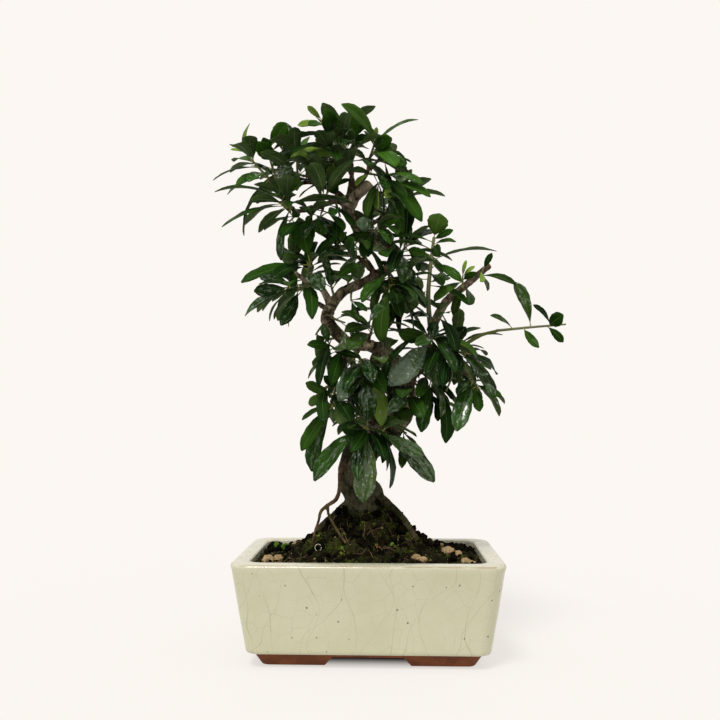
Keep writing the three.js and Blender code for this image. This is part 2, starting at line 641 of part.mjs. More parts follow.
function makeStone(x, y, size, lumps, seed, swell) {
  const draws = new Draws(seed);
  const parts = [];
  for (let i = 0; i < lumps; i += 1) {
    const lump = new THREE.IcosahedronGeometry(size * (1 - 0.18 * i) + swell, 0);
    lump.scale(1, draws.between(0.75, 0.95), draws.between(0.6, 0.75));
    lump.rotateZ(draws.between(0, Math.PI));
    const away = size * 1.25 * i;
    const angle = draws.between(-0.5, 0.5) + (i === 2 ? 2.2 : 0);
    const at = [x + away * Math.cos(angle), y + away * Math.sin(angle) * 0.7];
    lump.translate(at[0], at[1], ground(at[0], at[1]) + size * 0.12);
    parts.push(solidOf(lump));
  }
  return largestBody(wasm.Manifold.union(parts));
}

// The space round the tree, in small cubes that remember which shoot or limb is in them
const CUBE = 3;
const space = new Map();

function cubeAt(point, dx = 0, dy = 0, dz = 0) {
  const x = Math.floor((point.x + dx) / CUBE) + 500;
  const y = Math.floor((point.y + dy) / CUBE) + 500;
  const z = Math.floor((point.z + dz) / CUBE) + 500;
  return (x * 1000 + y) * 1000 + z;
}

function fillLine(points, owner) {
  const curve = new THREE.CatmullRomCurve3(points.map(place), false, "catmullrom");
  const last = points.length - 1;
  const steps = Math.ceil(last * 12);
  for (let i = 0; i <= steps; i += 1) {
    const centre = curve.getPoint(i / steps);
    const whole = Math.min(Math.floor((i / steps) * last), last - 1);
    const radius = points[whole][3] ?? STEM.foot;
    const reach = Math.ceil(radius / CUBE);
    for (let a = -reach; a <= reach; a += 1) {
      for (let b = -reach; b <= reach; b += 1) {
        for (let c = -reach; c <= reach; c += 1) {
          if (Math.hypot(a, b, c) * CUBE <= radius + 1) {
            const cube = cubeAt(centre, a * CUBE, b * CUBE, c * CUBE);
            if (!space.has(cube)) {
              space.set(cube, owner);
            }
          }
        }
      }
    }
  }
}

// A leaf blade: narrow at the foot, broadest past the middle, arched and folded along its midrib
const STATIONS = [[0.38, 0.8], [0.74, 0.95]]; // distance along, share of the half width
const ARCH = 0.09;
const FOLD = 0.22;

function bladeFrame(foot, tip, facing, width) {
  const along = tip.clone().sub(foot);
  const length = along.length();
  along.normalize();
  const normal = facing.clone().addScaledVector(along, -facing.dot(along)).normalize();
  const side = new THREE.Vector3().crossVectors(along, normal);
  return { foot, along, normal, side, length, width };
}

function onBlade(blade, t, across) {
  const rise = ARCH * blade.length * 4 * t * (1 - t);
  let share = 0;
  const marks = [[0, 0], ...STATIONS, [1, 0]];
  for (let i = 0; i + 1 < marks.length; i += 1) {
    if (t >= marks[i][0] && t <= marks[i + 1][0]) {
      const part = (t - marks[i][0]) / (marks[i + 1][0] - marks[i][0]);
      share = marks[i][1] + (marks[i + 1][1] - marks[i][1]) * part;
    }
  }
  const out = (across * share * blade.width) / 2;
  return blade.foot.clone()
    .addScaledVector(blade.along, t * blade.length)
    .addScaledVector(blade.normal, rise + FOLD * Math.abs(out))
    .addScaledVector(blade.side, out);
}

// Facing of a leaf whose shown width is known: turned from full face until it looks that wide
function shownFacing(foot, tip, shown) {
  const along = tip.clone().sub(foot);
  const length = along.length();
  along.normalize();
  const toEye = EYE.clone().sub(foot);
  const full = toEye.addScaledVector(along, -toEye.dot(along)).normalize();
  const edge = new THREE.Vector3().crossVectors(along, full);
  if (edge.z < 0) {
    edge.negate();
  }
  const width = Math.max(Math.abs(shown), NARROWEST * length);
  const share = Math.min(1, Math.abs(shown) / width);
  const facing = full.multiplyScalar(Math.sign(shown) * share);
  facing.addScaledVector(edge, Math.sqrt(1 - share * share));
  return { facing, width };
}

function crowding(blade, owner) {
  let crowd = 0;
  const rows = Math.ceil(blade.length / CUBE);
  const columns = Math.ceil(blade.width / CUBE / 2);
  for (let row = 0; row <= rows; row += 1) {
    const t = 0.12 + (0.88 * row) / rows;
    for (let column = -columns; column <= columns; column += 1) {
      const point = onBlade(blade, t, column / columns);
      for (let corner = 0; corner < 8; corner += 1) {
        const [dx, dy, dz] = [corner & 1, (corner >> 1) & 1, corner >> 2].map((bit) => (bit - 0.5) * 2.4);
        const found = space.get(cubeAt(point, dx, dy, dz));
        if (found !== undefined && found !== owner) {
          crowd += 10;
        } else if (found === owner && t > 0.4) {
          crowd += 1;
        }
      }
    }
  }
  return crowd;
}

function fillBlade(blade, owner) {
  const rows = Math.ceil(blade.length / 2);
  const columns = Math.ceil(blade.width / 4);
  for (let row = 0; row <= rows; row += 1) {
    for (let column = -columns; column <= columns; column += 1) {
      const cube = cubeAt(onBlade(blade, 0.12 + (0.88 * row) / rows, column / columns));
      if (!space.has(cube)) {
        space.set(cube, owner);
      }
    }
  }
}

// Leaves that the front view hides: a turn of 137.5 degrees from one to the next
function moreLeaves(curve, count, draws) {
  const leaves = [];
  for (let i = 0; i < count; i += 1) {
    const t = (i + 0.8) / (count + 0.3);
    const stem = curve.getTangent(t);
    const across = new THREE.Vector3(0, 0, 1).cross(stem).normalize();
    const up = new THREE.Vector3().crossVectors(stem, across);
    const turn = i * SPIRAL + draws.between(-0.4, 0.4);
    const lean = draws.between(0.35, 0.75);
    const out = across.multiplyScalar(Math.cos(turn)).addScaledVector(up, Math.sin(turn));
    const aim = out.clone().addScaledVector(stem, lean).add(new THREE.Vector3(0, 0, -0.15)).normalize();
    const length = draws.between(32, 46) * (t > 0.8 ? 0.75 : 1);
    const width = length * draws.between(0.28, 0.36);
    const facing = new THREE.Vector3(0, 0, 0.9).addScaledVector(out, 0.35).addScaledVector(stem, 0.3);
    const foot = curve.getPoint(t);
    leaves.push({ t, tip: foot.clone().addScaledVector(aim, length), facing, width });
  }
  return leaves;
}

// No two leaves share a spot on the stem: each one that would stands a step further down it
function spaceOut(leaves, curve) {
  const step = Math.min(NODE_STEP / curve.getLength(), 0.96 / leaves.length);
  const order = [...leaves].sort((a, b) => b.t - a.t);
  let free = 1;
  for (const leaf of order) {
    leaf.t = Math.min(leaf.t, free);
    free = leaf.t - step;
  }
  const lift = Math.max(0, 0.03 - order.at(-1).t);
  for (const leaf of order) {
    leaf.t += lift * (1 - leaf.t);
    leaf.foot = curve.getPoint(leaf.t);
  }
}

// Ways a leaf may swing to find room of its own, least first: its tip's move along the line of
// sight and up or down. None may stretch it past LONGEST.
const DEPTHS = [0, -6, 6, -12, 12, -18, 18, -25, 25, -32, 32];
const RISES = [0, 4, -4, 8, -8, 14, -14];
const RISE_COST = 5;
const SWINGS = RISES.flatMap((rise) => DEPTHS.map((depth) => [depth, rise]));
const swingCost = ([depth, rise]) => Math.hypot(depth, RISE_COST * rise);
SWINGS.sort((a, b) => swingCost(a) - swingCost(b));

function grow(name, shoot, seed) {
  const owner = name;
  const draws = new Draws(seed);
  const curve = new THREE.CatmullRomCurve3(shoot.line.map(place), false, "catmullrom");
  const wanted = shoot.leaves.map(([t, x, y, z, shown]) => ({ t, tip: place([x, y, z]), shown }));
  wanted.push(...moreLeaves(curve, shoot.more, draws));
  spaceOut(wanted, curve);
  const blades = [];
  for (const leaf of wanted) {
    let best = null;
    for (const [depth, rise] of SWINGS) {
      const reach = (leaf.tip.y + depth - EYE.y) / (leaf.tip.y - EYE.y);
      const tip = leaf.tip.clone().sub(EYE).multiplyScalar(reach).add(EYE);
      tip.z += rise;
      if (depth !== 0 && tip.distanceTo(leaf.foot) > LONGEST) {
        continue;
      }
      const { facing, width } = leaf.facing ? leaf : shownFacing(leaf.foot, tip, leaf.shown);
      const blade = bladeFrame(leaf.foot, tip, facing, width);
      const crowd = crowding(blade, owner);
      if (best === null || crowd < best.crowd) {
        best = { blade, crowd };
      }
      if (crowd === 0) {
        break;
      }
    }
    fillBlade(best.blade, owner);
    blades.push(best.blade);
  }
  return blades;
}

function bladeSolid(blade) {
  const sunk = { ...blade, foot: blade.foot.clone().addScaledVector(blade.along, -BLADE_SUNK) };
  const [[near], [far]] = STATIONS;
  const spots = [[0, 0], [near, -1], [near, 1], [far, -1], [far, 0], [far, 1], [1, 0]];
  const shift = blade.normal.clone().multiplyScalar(BLADE_THICK / 2);
  const middle = spots.map(([t, across]) => onBlade(sunk, t, across));
  const top = middle.map((spot) => spot.clone().add(shift));
  const bottom = middle.map((spot) => spot.clone().sub(shift));
  const skin = [[0, 2, 1], [1, 4, 3], [1, 2, 4], [2, 5, 4], [3, 4, 6], [4, 5, 6]];
  const outline = [0, 2, 5, 6, 3, 1];
  const under = top.length;
  const faces = [];
  for (const [a, b, c] of skin) {
    faces.push([a, b, c], [a + under, c + under, b + under]);
  }
  outline.forEach((a, i) => {
    const b = outline[(i + 1) % outline.length];
    faces.push([a, b + under, b], [a, a + under, b + under]);
  });
  return solidFrom([...top, ...bottom], faces);
}

function makeShoot(shoot, blades, wood) {
  const last = shoot.line.length - 1;
  const stem = shoot.line.map((point, i) => [...point, THREE.MathUtils.lerp(STEM.foot, STEM.tip, i / last)]);
  const whole = wasm.Manifold.union([limb(stem, STEM.sides, 1), ...blades.map(bladeSolid)]);
  return largestBody(whole.subtract(wood));
}

const tree = new THREE.Group();
tree.add(meshOf("pot", makePot(), GLAZE));

["left", "right"].forEach((side, i) => {
  const screen = meshOf(`drain_screen_${side}`, makeScreen(), BLACK_PLASTIC);
  screen.position.set((i * 2 - 1) * POT.drainAt, 0, POT.floor + GAP + SCREEN.thick / 2);
  tree.add(screen);
});

const wood = makeWood();
const roomForWood = makeWood(GAP);
let soil = makeSoil().subtract(roomForWood);
const pocketSide = SCREEN.side + 2 * GAP;
for (const side of [-1, 1]) {
  const pocket = new THREE.BoxGeometry(pocketSide, pocketSide, 2 * (SCREEN.thick + 2 * GAP));
  soil = soil.subtract(solidOf(pocket.translate(side * POT.drainAt, 0, SOIL.floor)));
}
Object.entries(STONES).forEach(([name, [x, y, size, lumps]], i) => {
  tree.add(meshOf(name, makeStone(x, y, size, lumps, i + 1, 0).subtract(roomForWood), PUMICE));
  soil = soil.subtract(makeStone(x, y, size, lumps, i + 1, GAP * 1.4));
});
tree.add(meshOf("soil", largestBody(soil), EARTH));
tree.add(meshOf("trunk", wood, BARK));

fillLine(TRUNK, "wood");
Object.values(BRANCHES).forEach((points) => fillLine(points, "wood"));
Object.entries(SHOOTS).forEach(([name, shoot]) => fillLine(shoot.line, name));
Object.entries(SHOOTS).forEach(([name, shoot], i) => {
  const blades = grow(name, shoot, i + 1);
  tree.add(meshOf(`shoot_${name}`, makeShoot(shoot, blades, roomForWood), LEAF));
});

// The origin is the middle of the whole object's footprint, on the table
const extent = new THREE.Box3().setFromObject(tree);
const middle = extent.getCenter(new THREE.Vector3());
tree.position.set(-middle.x, -middle.y, -extent.min.z);

export default tree;
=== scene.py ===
# %% [markdown]
# # A firethorn bonsai in its pot
# The tree is an old firethorn: a stout foot on a mound of soil, a bent and knotted trunk with sawn
# stubs, and shoots of narrow glossy leaves. It stands in a low pot with a cream crackle glaze. The
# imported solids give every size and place, and this script dresses them: each step says what the
# real thing is, how it could be made, and why this way was taken.

# %% Load the solids
import math
import random

import bmesh
import bpy
import numpy as np
from mathutils import Matrix, Vector, noise


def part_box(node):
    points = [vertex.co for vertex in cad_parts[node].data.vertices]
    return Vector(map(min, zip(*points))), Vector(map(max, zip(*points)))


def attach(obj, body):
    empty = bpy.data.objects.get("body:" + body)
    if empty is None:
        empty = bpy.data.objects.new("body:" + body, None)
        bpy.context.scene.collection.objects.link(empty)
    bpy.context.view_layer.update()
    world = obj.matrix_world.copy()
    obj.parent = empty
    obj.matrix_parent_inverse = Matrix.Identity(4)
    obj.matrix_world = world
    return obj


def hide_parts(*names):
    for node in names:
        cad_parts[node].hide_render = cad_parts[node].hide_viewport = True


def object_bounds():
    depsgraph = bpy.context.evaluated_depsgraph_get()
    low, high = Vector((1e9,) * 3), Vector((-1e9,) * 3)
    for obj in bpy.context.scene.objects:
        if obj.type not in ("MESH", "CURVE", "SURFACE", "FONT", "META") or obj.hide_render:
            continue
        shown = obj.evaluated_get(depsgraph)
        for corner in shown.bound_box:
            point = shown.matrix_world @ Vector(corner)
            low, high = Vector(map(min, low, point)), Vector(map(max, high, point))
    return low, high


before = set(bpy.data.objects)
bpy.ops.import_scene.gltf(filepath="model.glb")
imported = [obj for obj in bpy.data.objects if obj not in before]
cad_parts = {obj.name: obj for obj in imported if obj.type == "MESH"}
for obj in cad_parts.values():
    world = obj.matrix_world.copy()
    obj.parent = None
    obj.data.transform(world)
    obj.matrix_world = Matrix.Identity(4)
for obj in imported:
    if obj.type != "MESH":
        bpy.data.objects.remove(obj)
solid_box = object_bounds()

MM = 0.001
pot_low, pot_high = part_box("pot")
POT_MIDDLE = np.array([(pot_low[0] + pot_high[0]) / 2, (pot_low[1] + pot_high[1]) / 2, 0.0])
print("pot", [round((b - a) / MM, 1) for a, b in zip(pot_low, pot_high)], "mm")

# %% [markdown]
# ## Two zeros and an eye
# Sizes are in millimetres from the middle of the pot's foot. The tree was measured from one place
# in front of it, so its points are written as that eye sees them: x and z where the line of sight
# meets an upright plane through the tree's zero, and y the real depth behind that plane. Points
# could also be written outright, but then a change of depth would shift them in the picture.

# %% Places
EYE = np.array([15.2, -649.1, 187.1])
ZERO = np.array([2.2, 0.9, -1.9])


def place(point):
    x, y, z = point[:3]
    reach = 1 + y / (ZERO[1] - EYE[1])
    return (np.array([x, 0, z]) + ZERO - EYE) * reach + EYE


def in_frame(points):
    """Millimetres from the pot's middle, as metres in the frame."""
    return np.asarray(points, dtype=float) * MM + POT_MIDDLE


# %% [markdown]
# ## Camera
# The photograph was taken from a little below the crown, slightly turned to the left and up. Its
# place and lens were worked out from the corners of the pot.

# %% Camera
CAMERA = {"sensor": 36, "lens": 40.03, "up": 3.73, "left": 2.0}


def add_camera():
    camera = bpy.data.cameras.new("camera")
    camera.sensor_width = CAMERA["sensor"]
    camera.lens = CAMERA["lens"]
    holder = bpy.data.objects.new("camera", camera)
    holder.location = in_frame(EYE)
    holder.rotation_euler = (math.radians(90 + CAMERA["up"]), 0, math.radians(CAMERA["left"]))
    bpy.context.scene.collection.objects.link(holder)
    bpy.context.scene.camera = holder
    print("camera at", [round(part, 3) for part in holder.location], "m, lens", CAMERA["lens"], "mm")


add_camera()

# %% [markdown]
# ## Building helpers
# Each finished piece is one mesh whose place is in its points, so its object stays at the origin.
# `tube` strings circles along a line and bridges them, which suits twigs, stalks and roots. A curve
# with a bevel would do it too, but it can't be joined to other shapes as easily.

# %% Meshes
def shade(mesh, smooth=True):
    mesh.polygons.foreach_set("use_smooth", [smooth] * len(mesh.polygons))


def new_piece(name, bm, materials, smooth=True):
    bmesh.ops.recalc_face_normals(bm, faces=bm.faces[:])
    mesh = bpy.data.meshes.new(name)
    bm.to_mesh(mesh)
    bm.free()
    for material in materials:
        mesh.materials.append(material)
    shade(mesh, smooth)
    piece = bpy.data.objects.new(name, mesh)
    bpy.context.scene.collection.objects.link(piece)
    return piece


def apply_modifiers(piece):
    """Turns what the modifiers make into the piece's own mesh."""
    seen = piece.evaluated_get(bpy.context.evaluated_depsgraph_get())
    made = bpy.data.meshes.new_from_object(seen)
    old = piece.data
    piece.modifiers.clear()
    piece.data = made
    bpy.data.meshes.remove(old)
    return piece


def even_out(piece, size):
    """Remakes a piece in even faces of a size in millimetres, and melts what crosses into one."""
    remesh = piece.modifiers.new("even", "REMESH")
    remesh.mode = "VOXEL"
    remesh.voxel_size = size * MM
    return apply_modifiers(piece)


def coordinates(mesh):
    flat = np.empty(len(mesh.vertices) * 3)
    mesh.vertices.foreach_get("co", flat)
    return flat.reshape(-1, 3)


def paint(mesh, name, values):
    """Keeps one number for each point, which a material can read."""
    layer = mesh.attributes.new(name, "FLOAT", "POINT")
    layer.data.foreach_set("value", np.asarray(values, dtype=np.float32))


class Line:
    """A smooth line through placed points, the same one that the solids were grown on."""

    def __init__(self, points):
        self.points = np.array([place(point) for point in points])
        self.last = len(points) - 1
        self.radii = [point[3] for point in points] if len(points[0]) > 3 else None

    def at(self, t):
        spots = np.atleast_1d(np.asarray(t, dtype=float)) * self.last
        whole = np.minimum(np.floor(spots).astype(int), self.last - 1)
        part = (spots - whole)[:, None]
        row = self.points
        row = np.vstack((2 * row[0] - row[1], row, 2 * row[-1] - row[-2]))
        a, b, c, d = (row[whole + i] for i in range(4))
        leave, arrive = 0.5 * (c - a), 0.5 * (d - b)
        bend = 3 * (c - b) - 2 * leave - arrive
        return b + part * (leave + part * (bend + part * (2 * (b - c) + leave + arrive)))

    def along(self, t):
        step = 0.0001
        ends = self.at([max(t - step, 0), min(t + step, 1)])
        return unit(ends[1] - ends[0])

    def length(self):
        return float(np.linalg.norm(np.diff(self.at(np.arange(201) / 200), axis=0), axis=1).sum())

    def radius(self, t):
        return float(np.interp(t * self.last, np.arange(self.last + 1), self.radii))


def unit(vector):
    return vector / np.linalg.norm(vector)


def tube(bm, centres, radii, sides):
    """Circles round a line of centres, bridged into one closed skin."""
    across = np.array([0.0, 1.0, 0.0])
    before = None
    for i, (centre, radius) in enumerate(zip(centres, radii)):
        first, second = centres[max(i - 1, 0)], centres[min(i + 1, len(centres) - 1)]
        along = unit(second - first)
        across = unit(across - across.dot(along) * along)
        axes = np.array([across, np.cross(along, across), along]).T
        turn = Matrix([[*row, spot] for row, spot in zip(axes, in_frame(centre))])
        turn.resize_4x4()
        closed = i in (0, len(centres) - 1)
        ring = bmesh.ops.create_circle(
            bm, cap_ends=closed, radius=radius * MM, segments=sides, matrix=turn,
        )
        edges = {edge for vert in ring["verts"] for edge in vert.link_edges}
        if before:
            bmesh.ops.bridge_loops(bm, edges=list(before | edges))
        before = edges


# %% [markdown]
# ## Material helpers
# Every finish is worked out from the place of each point, so it needs no picture. `Recipe` wraps a
# node tree: it adds a node, sets its plain values and joins the outputs that it is given.

# %% Materials
class Recipe:
    def __init__(self, tree):
        self.tree = tree

    def add(self, kind, inputs=None, **settings):
        made = self.tree.nodes.new("ShaderNode" + kind)
        for name, value in settings.items():
            setattr(made, name, value)
        for name, value in (inputs or {}).items():
            self.give(made.inputs[name], value)
        return made

    def give(self, socket, value):
        """Joins an output to a socket, or sets a plain value in it."""
        if isinstance(value, bpy.types.NodeSocket):
            self.tree.links.new(value, socket)
        else:
            socket.default_value = value

    def use(self, group, **inputs):
        """Puts in a named effect and gives back its outputs."""
        return self.add("Group", inputs, node_tree=group).outputs

    def math(self, operation, a, b=0.0):
        return self.add("Math", {0: a, 1: b}, operation=operation).outputs[0]

    def plus(self, a, b):
        return self.math("ADD", a, b)

    def minus(self, a, b):
        return self.math("SUBTRACT", a, b)

    def times(self, a, b):
        return self.math("MULTIPLY", a, b)

    def ramp(self, value, low, high, start=0.0, end=1.0):
        """Start below low, end above high, and a smooth rise between."""
        inputs = {"Value": value, "From Min": low, "From Max": high, "To Min": start, "To Max": end}
        return self.add("MapRange", inputs, interpolation_type="SMOOTHSTEP").outputs[0]

    def mix(self, share, a, b):
        return self.add("Mix", {0: share, 6: a, 7: b}, data_type="RGBA").outputs[2]

    def noise(self, where, scale, detail=3.0, rough=0.55):
        inputs = {"Vector": where, "Scale": scale, "Detail": detail, "Roughness": rough}
        return self.add("TexNoise", inputs).outputs["Fac"]

    def read(self, name):
        return self.add("Attribute", attribute_name=name).outputs["Fac"]

    def place(self):
        return self.add("TexCoord").outputs["Object"]


def new_material(name):
    material = bpy.data.materials.new(name)
    material.use_nodes = True
    return material, Recipe(material.node_tree), material.node_tree.nodes["Principled BSDF"]


def finish(recipe, shader, colour=None, rough=None, height=None, depth=0.5, distance=0.001, **plain):
    """Joins colour, roughness and relief to the shader, and sets what is plain."""
    if colour is not None:
        recipe.give(shader.inputs["Base Color"], colour)
    if rough is not None:
        recipe.give(shader.inputs["Roughness"], rough)
    if height is not None:
        bump = recipe.add("Bump", {"Strength": depth, "Distance": distance, "Height": height})
        recipe.give(shader.inputs["Normal"], bump.outputs["Normal"])
    for name, value in plain.items():
        recipe.give(shader.inputs[name.replace("_", " ")], value)


def new_group(name, inputs, outputs):
    """A named effect: its inputs with their usual values, and its outputs."""
    group = bpy.data.node_groups.new(name, "ShaderNodeTree")
    for label, kind, value in inputs:
        socket = group.interface.new_socket(label, in_out="INPUT", socket_type="NodeSocket" + kind)
        if value is not None:
            socket.default_value = value
    for label, kind in outputs:
        group.interface.new_socket(label, in_out="OUTPUT", socket_type="NodeSocket" + kind)
    recipe = Recipe(group)
    source = group.nodes.new("NodeGroupInput")
    target = group.nodes.new("NodeGroupOutput")
    return group, recipe, source.outputs, target.inputs


# %% [markdown]
# ## Floor and light
# The tree stands on white paper in soft daylight. A wide sun, high behind the eye and to its left,
# gives the wet gleam on the leaves, and the bright surroundings do the rest. The paper glows as well,
# like a light table: this is painted light, which keeps shadows on it faint. Under the pot the glow
# is taken away, which paints a dark shadow there. The paper's tone is worked out so that it meets the
# surroundings without an edge. A picture of a studio would light the tree too, but needs an image.

# %% Floor and light
WHITE = (0.973, 0.930, 0.888)
GLOW = 0.72
LAMP = {"from": (-0.2, -0.46, 0.865), "strength": 2.6, "colour": (1, 0.985, 0.96), "spread": 16}
PAINTED_POT_SHADOW = {"across": (0.062, 0.086), "back": (0.024, 0.05)}


def add_lamp():
    lamp = bpy.data.lights.new("window", "SUN")
    lamp.energy = LAMP["strength"]
    lamp.color = LAMP["colour"]
    lamp.angle = math.radians(LAMP["spread"])
    holder = bpy.data.objects.new("window", lamp)
    holder.rotation_euler = (-Vector(LAMP["from"])).to_track_quat("-Z", "Y").to_euler()
    bpy.context.scene.collection.objects.link(holder)


def build_paper():
    material, recipe, shader = new_material("paper")
    lamplight = LAMP["strength"] / math.pi * LAMP["from"][2]
    lit = [white + lamplight * colour for white, colour in zip(WHITE, LAMP["colour"])]
    tone = [(1 - GLOW) * white / light for white, light in zip(WHITE, lit)]
    part = recipe.add("SeparateXYZ", {0: recipe.place()}).outputs
    across, back = (
        recipe.math("ABSOLUTE", recipe.minus(part[axis], float(POT_MIDDLE[number])))
        for number, axis in enumerate("XY")
    )
    # Painted shadow: under the pot the paper's glow fades to black, so the floor there stays dark.
    across = recipe.ramp(across, *PAINTED_POT_SHADOW["across"], 1, 0)
    back = recipe.ramp(back, *PAINTED_POT_SHADOW["back"], 1, 0)
    glow = recipe.mix(recipe.times(across, back), (*WHITE, 1), (0, 0, 0, 1))
    plain = {"Base_Color": (*tone, 1), "Emission_Color": glow, "Emission_Strength": GLOW}
    finish(recipe, shader, **plain, Roughness=1.0, Specular_IOR_Level=0.0)
    return material


def add_floor():
    bm = bmesh.new()
    bmesh.ops.create_circle(bm, cap_ends=True, radius=8, segments=64)
    new_piece("floor", bm, [build_paper()], smooth=False)


def add_surroundings():
    world = bpy.data.worlds.new("daylight")
    world.use_nodes = True
    light = world.node_tree.nodes["Background"]
    light.inputs["Color"].default_value = (*WHITE, 1)
    bpy.context.scene.world = world


add_floor()
add_surroundings()
add_lamp()
bpy.context.scene.view_settings.view_transform = "Standard"
print("daylight of strength", LAMP["strength"], "and paper that glows by", GLOW)

# %% [markdown]
# ## Shared effects
# `mottle` is soft uneven colour, `grain` a crumbly relief at two sizes, and `moss` says where green
# film grows: low down, on what faces up. Each is built once as a node group and reused with its
# own scale, so bark, soil and stone age in the same way.

# %% Shared effects
def build_mottle():
    inputs = [("Place", "Vector", None), ("Scale", "Float", 60.0)]
    group, recipe, given, wanted = new_group("mottle", inputs, [("Value", "Float"), ("Fine", "Float")])
    broad = recipe.noise(given["Place"], given["Scale"], 4)
    fine = recipe.noise(given["Place"], recipe.times(given["Scale"], 5.0), 3)
    recipe.give(wanted["Value"], recipe.ramp(broad, 0.35, 0.65))
    recipe.give(wanted["Fine"], recipe.ramp(fine, 0.35, 0.65))
    return group


def build_grain():
    inputs = [("Place", "Vector", None), ("Scale", "Float", 300.0)]
    group, recipe, given, wanted = new_group("grain", inputs, [("Height", "Float"), ("Pits", "Float")])
    cells = recipe.add("TexVoronoi", {"Vector": given["Place"], "Scale": given["Scale"]})
    lumps = cells.outputs["Distance"]
    fine = recipe.noise(given["Place"], recipe.times(given["Scale"], 2.2), 4, 0.65)
    height = recipe.minus(recipe.times(fine, 0.8), lumps)
    recipe.give(wanted["Height"], height)
    recipe.give(wanted["Pits"], recipe.ramp(lumps, 0.12, 0.5, 1, 0))
    return group


def build_moss():
    inputs = [("Place", "Vector", None), ("Normal", "Vector", None), ("Top", "Float", 0.12)]
    group, recipe, given, wanted = new_group("moss", inputs, [("Mask", "Float")])
    height = recipe.add("SeparateXYZ", {0: given["Place"]}).outputs["Z"]
    up = recipe.add("SeparateXYZ", {0: given["Normal"]}).outputs["Z"]
    low = recipe.minus(given["Top"], height)
    low = recipe.ramp(recipe.times(low, 14.0), 0.0, 1.0)
    patches = recipe.ramp(recipe.noise(given["Place"], 70.0, 5, 0.6), 0.48, 0.6)
    facing = recipe.ramp(up, -0.4, 0.6, 0.25, 1)
    recipe.give(wanted["Mask"], recipe.times(recipe.times(low, patches), facing))
    return group


mottle = build_mottle()
grain = build_grain()
moss = build_moss()
print("effects", [group.name for group in (mottle, grain, moss)])

# %% [markdown]
# ## The pot
# It is pressed stoneware: leaning walls with a flat rim, a bare clay band and four corner feet. Its
# skin is a stack of rounded rectangles bridged into one another, the way the profile runs from
# sole to rim and down inside. The gaps between the feet and the drain holes are cut out of it, and
# a narrow bevel softens the cut clay. Lathe work would not do, because the pot isn't round.

# %% Pot shape
POT = {"length": 203, "width": 132, "height": 77, "corner": 15, "rim": 13.5, "taper": 12, "wall": 9}
FEET = {"high": 7, "front": (53, 64), "end": (34, 44), "inset": 22}
CLAY = {"top": 10, "inset": 16}
FLOOR = 15
DRAIN = {"width": 16, "at": 45, "depth": 20}


def rounded_ring(bm, inset, z, per_corner=9):
    """One level of the pot: a rectangle with round corners, as a loop of edges."""
    half = np.array([POT["length"] / 2 - inset, POT["width"] / 2 - inset])
    radius = max(POT["corner"] - inset * 0.4, 3)
    verts = []
    for corner, signs in enumerate([(1, 1), (-1, 1), (-1, -1), (1, -1)]):
        centre = (half - radius) * signs
        for i in range(per_corner):
            angle = math.pi / 2 * (corner + i / (per_corner - 1))
            x, y = centre + radius * np.array([math.cos(angle), math.sin(angle)])
            verts.append(bm.verts.new(in_frame((x, y, z))))
    return [bm.edges.new((verts[i - 1], verts[i])) for i in range(len(verts))]


def lean(z):
    """How far the wall has drawn in at a height, from the rim's outline."""
    return POT["taper"] * (1 - z / POT["height"])


def inner_lean(z):
    return lean(z) + POT["wall"]


def pot_profile():
    """Inset from the rim's outline and height, from the sole round to the floor inside."""
    height, rim, band = POT["height"], POT["rim"], CLAY["top"]
    turn = [math.radians(angle) for angle in (0, 22, 45, 68, 90)]
    outer = [(2.6 * (1 - math.cos(a)), height - 2.7 + 2.4 * math.sin(a)) for a in turn]
    inner = [(rim - 1.6 + 1.6 * math.sin(a), height - 1.9 + 1.6 * math.cos(a)) for a in turn]
    return [
        (FEET["inset"], 0), (CLAY["inset"] + 0.6, band - 1.2), (CLAY["inset"] - 0.6, band),
        (lean(band) + 2.2, band + 0.3), (lean(band) + 0.7, band + 0.9), (lean(band) + 0.1, band + 2.2),
        (lean(band) - 0.1, band + 4), (lean(40) + 0.1, 40), (lean(height - 6), height - 6), *outer,
        (rim * 0.5, height), *inner, (rim + 0.6, height - 9), (inner_lean(FLOOR + 6), FLOOR + 6),
        (inner_lean(FLOOR) + 2, FLOOR + 1.5), (inner_lean(FLOOR) + 5, FLOOR),
    ]


def bar(size_top, size_foot, length, turned):
    """A long block, narrower at its top, that cuts a gap between two feet."""
    bm = bmesh.new()
    bmesh.ops.create_cube(bm, size=1)
    for vert in bm.verts:
        x, y, z = vert.co
        width = size_top if z > 0 else size_foot + (size_foot - size_top) * 0.2
        spot = (x * width, y * length, FEET["high"] if z > 0 else -1.4)
        vert.co = in_frame((-spot[1], spot[0], spot[2]) if turned else spot)
    return new_piece("gap", bm, [])


def drain(side):
    """A round bar that cuts one drain hole, on the left or the right."""
    radius = DRAIN["width"] / 2 * MM
    bm = bmesh.new()
    bmesh.ops.create_cone(
        bm, cap_ends=True, segments=32, radius1=radius, radius2=radius, depth=DRAIN["depth"] * MM,
    )
    bmesh.ops.translate(bm, verts=bm.verts[:], vec=in_frame((side * DRAIN["at"], 0, FLOOR - 4)))
    return new_piece("hole", bm, [])


def shape_pot(materials):
    bm = bmesh.new()
    loops = [rounded_ring(bm, inset, z) for inset, z in pot_profile()]
    for lower, upper in zip(loops, loops[1:]):
        bmesh.ops.bridge_loops(bm, edges=lower + upper)
    for end in (loops[0], loops[-1]):
        bmesh.ops.contextual_create(bm, geom=end)
    pot = new_piece("glazed_pot", bm, materials)
    cutters = [
        bar(*FEET["front"], POT["width"] * 1.2, False), bar(*FEET["end"], POT["length"] * 1.2, True),
        drain(-1), drain(1),
    ]
    for cutter in cutters:
        cut = pot.modifiers.new("cut", "BOOLEAN")
        cut.operation = "DIFFERENCE"
        cut.object = cutter
        cut.solver = "EXACT"
    apply_modifiers(pot)
    for cutter in cutters:
        bpy.data.meshes.remove(cutter.data)
    return pot


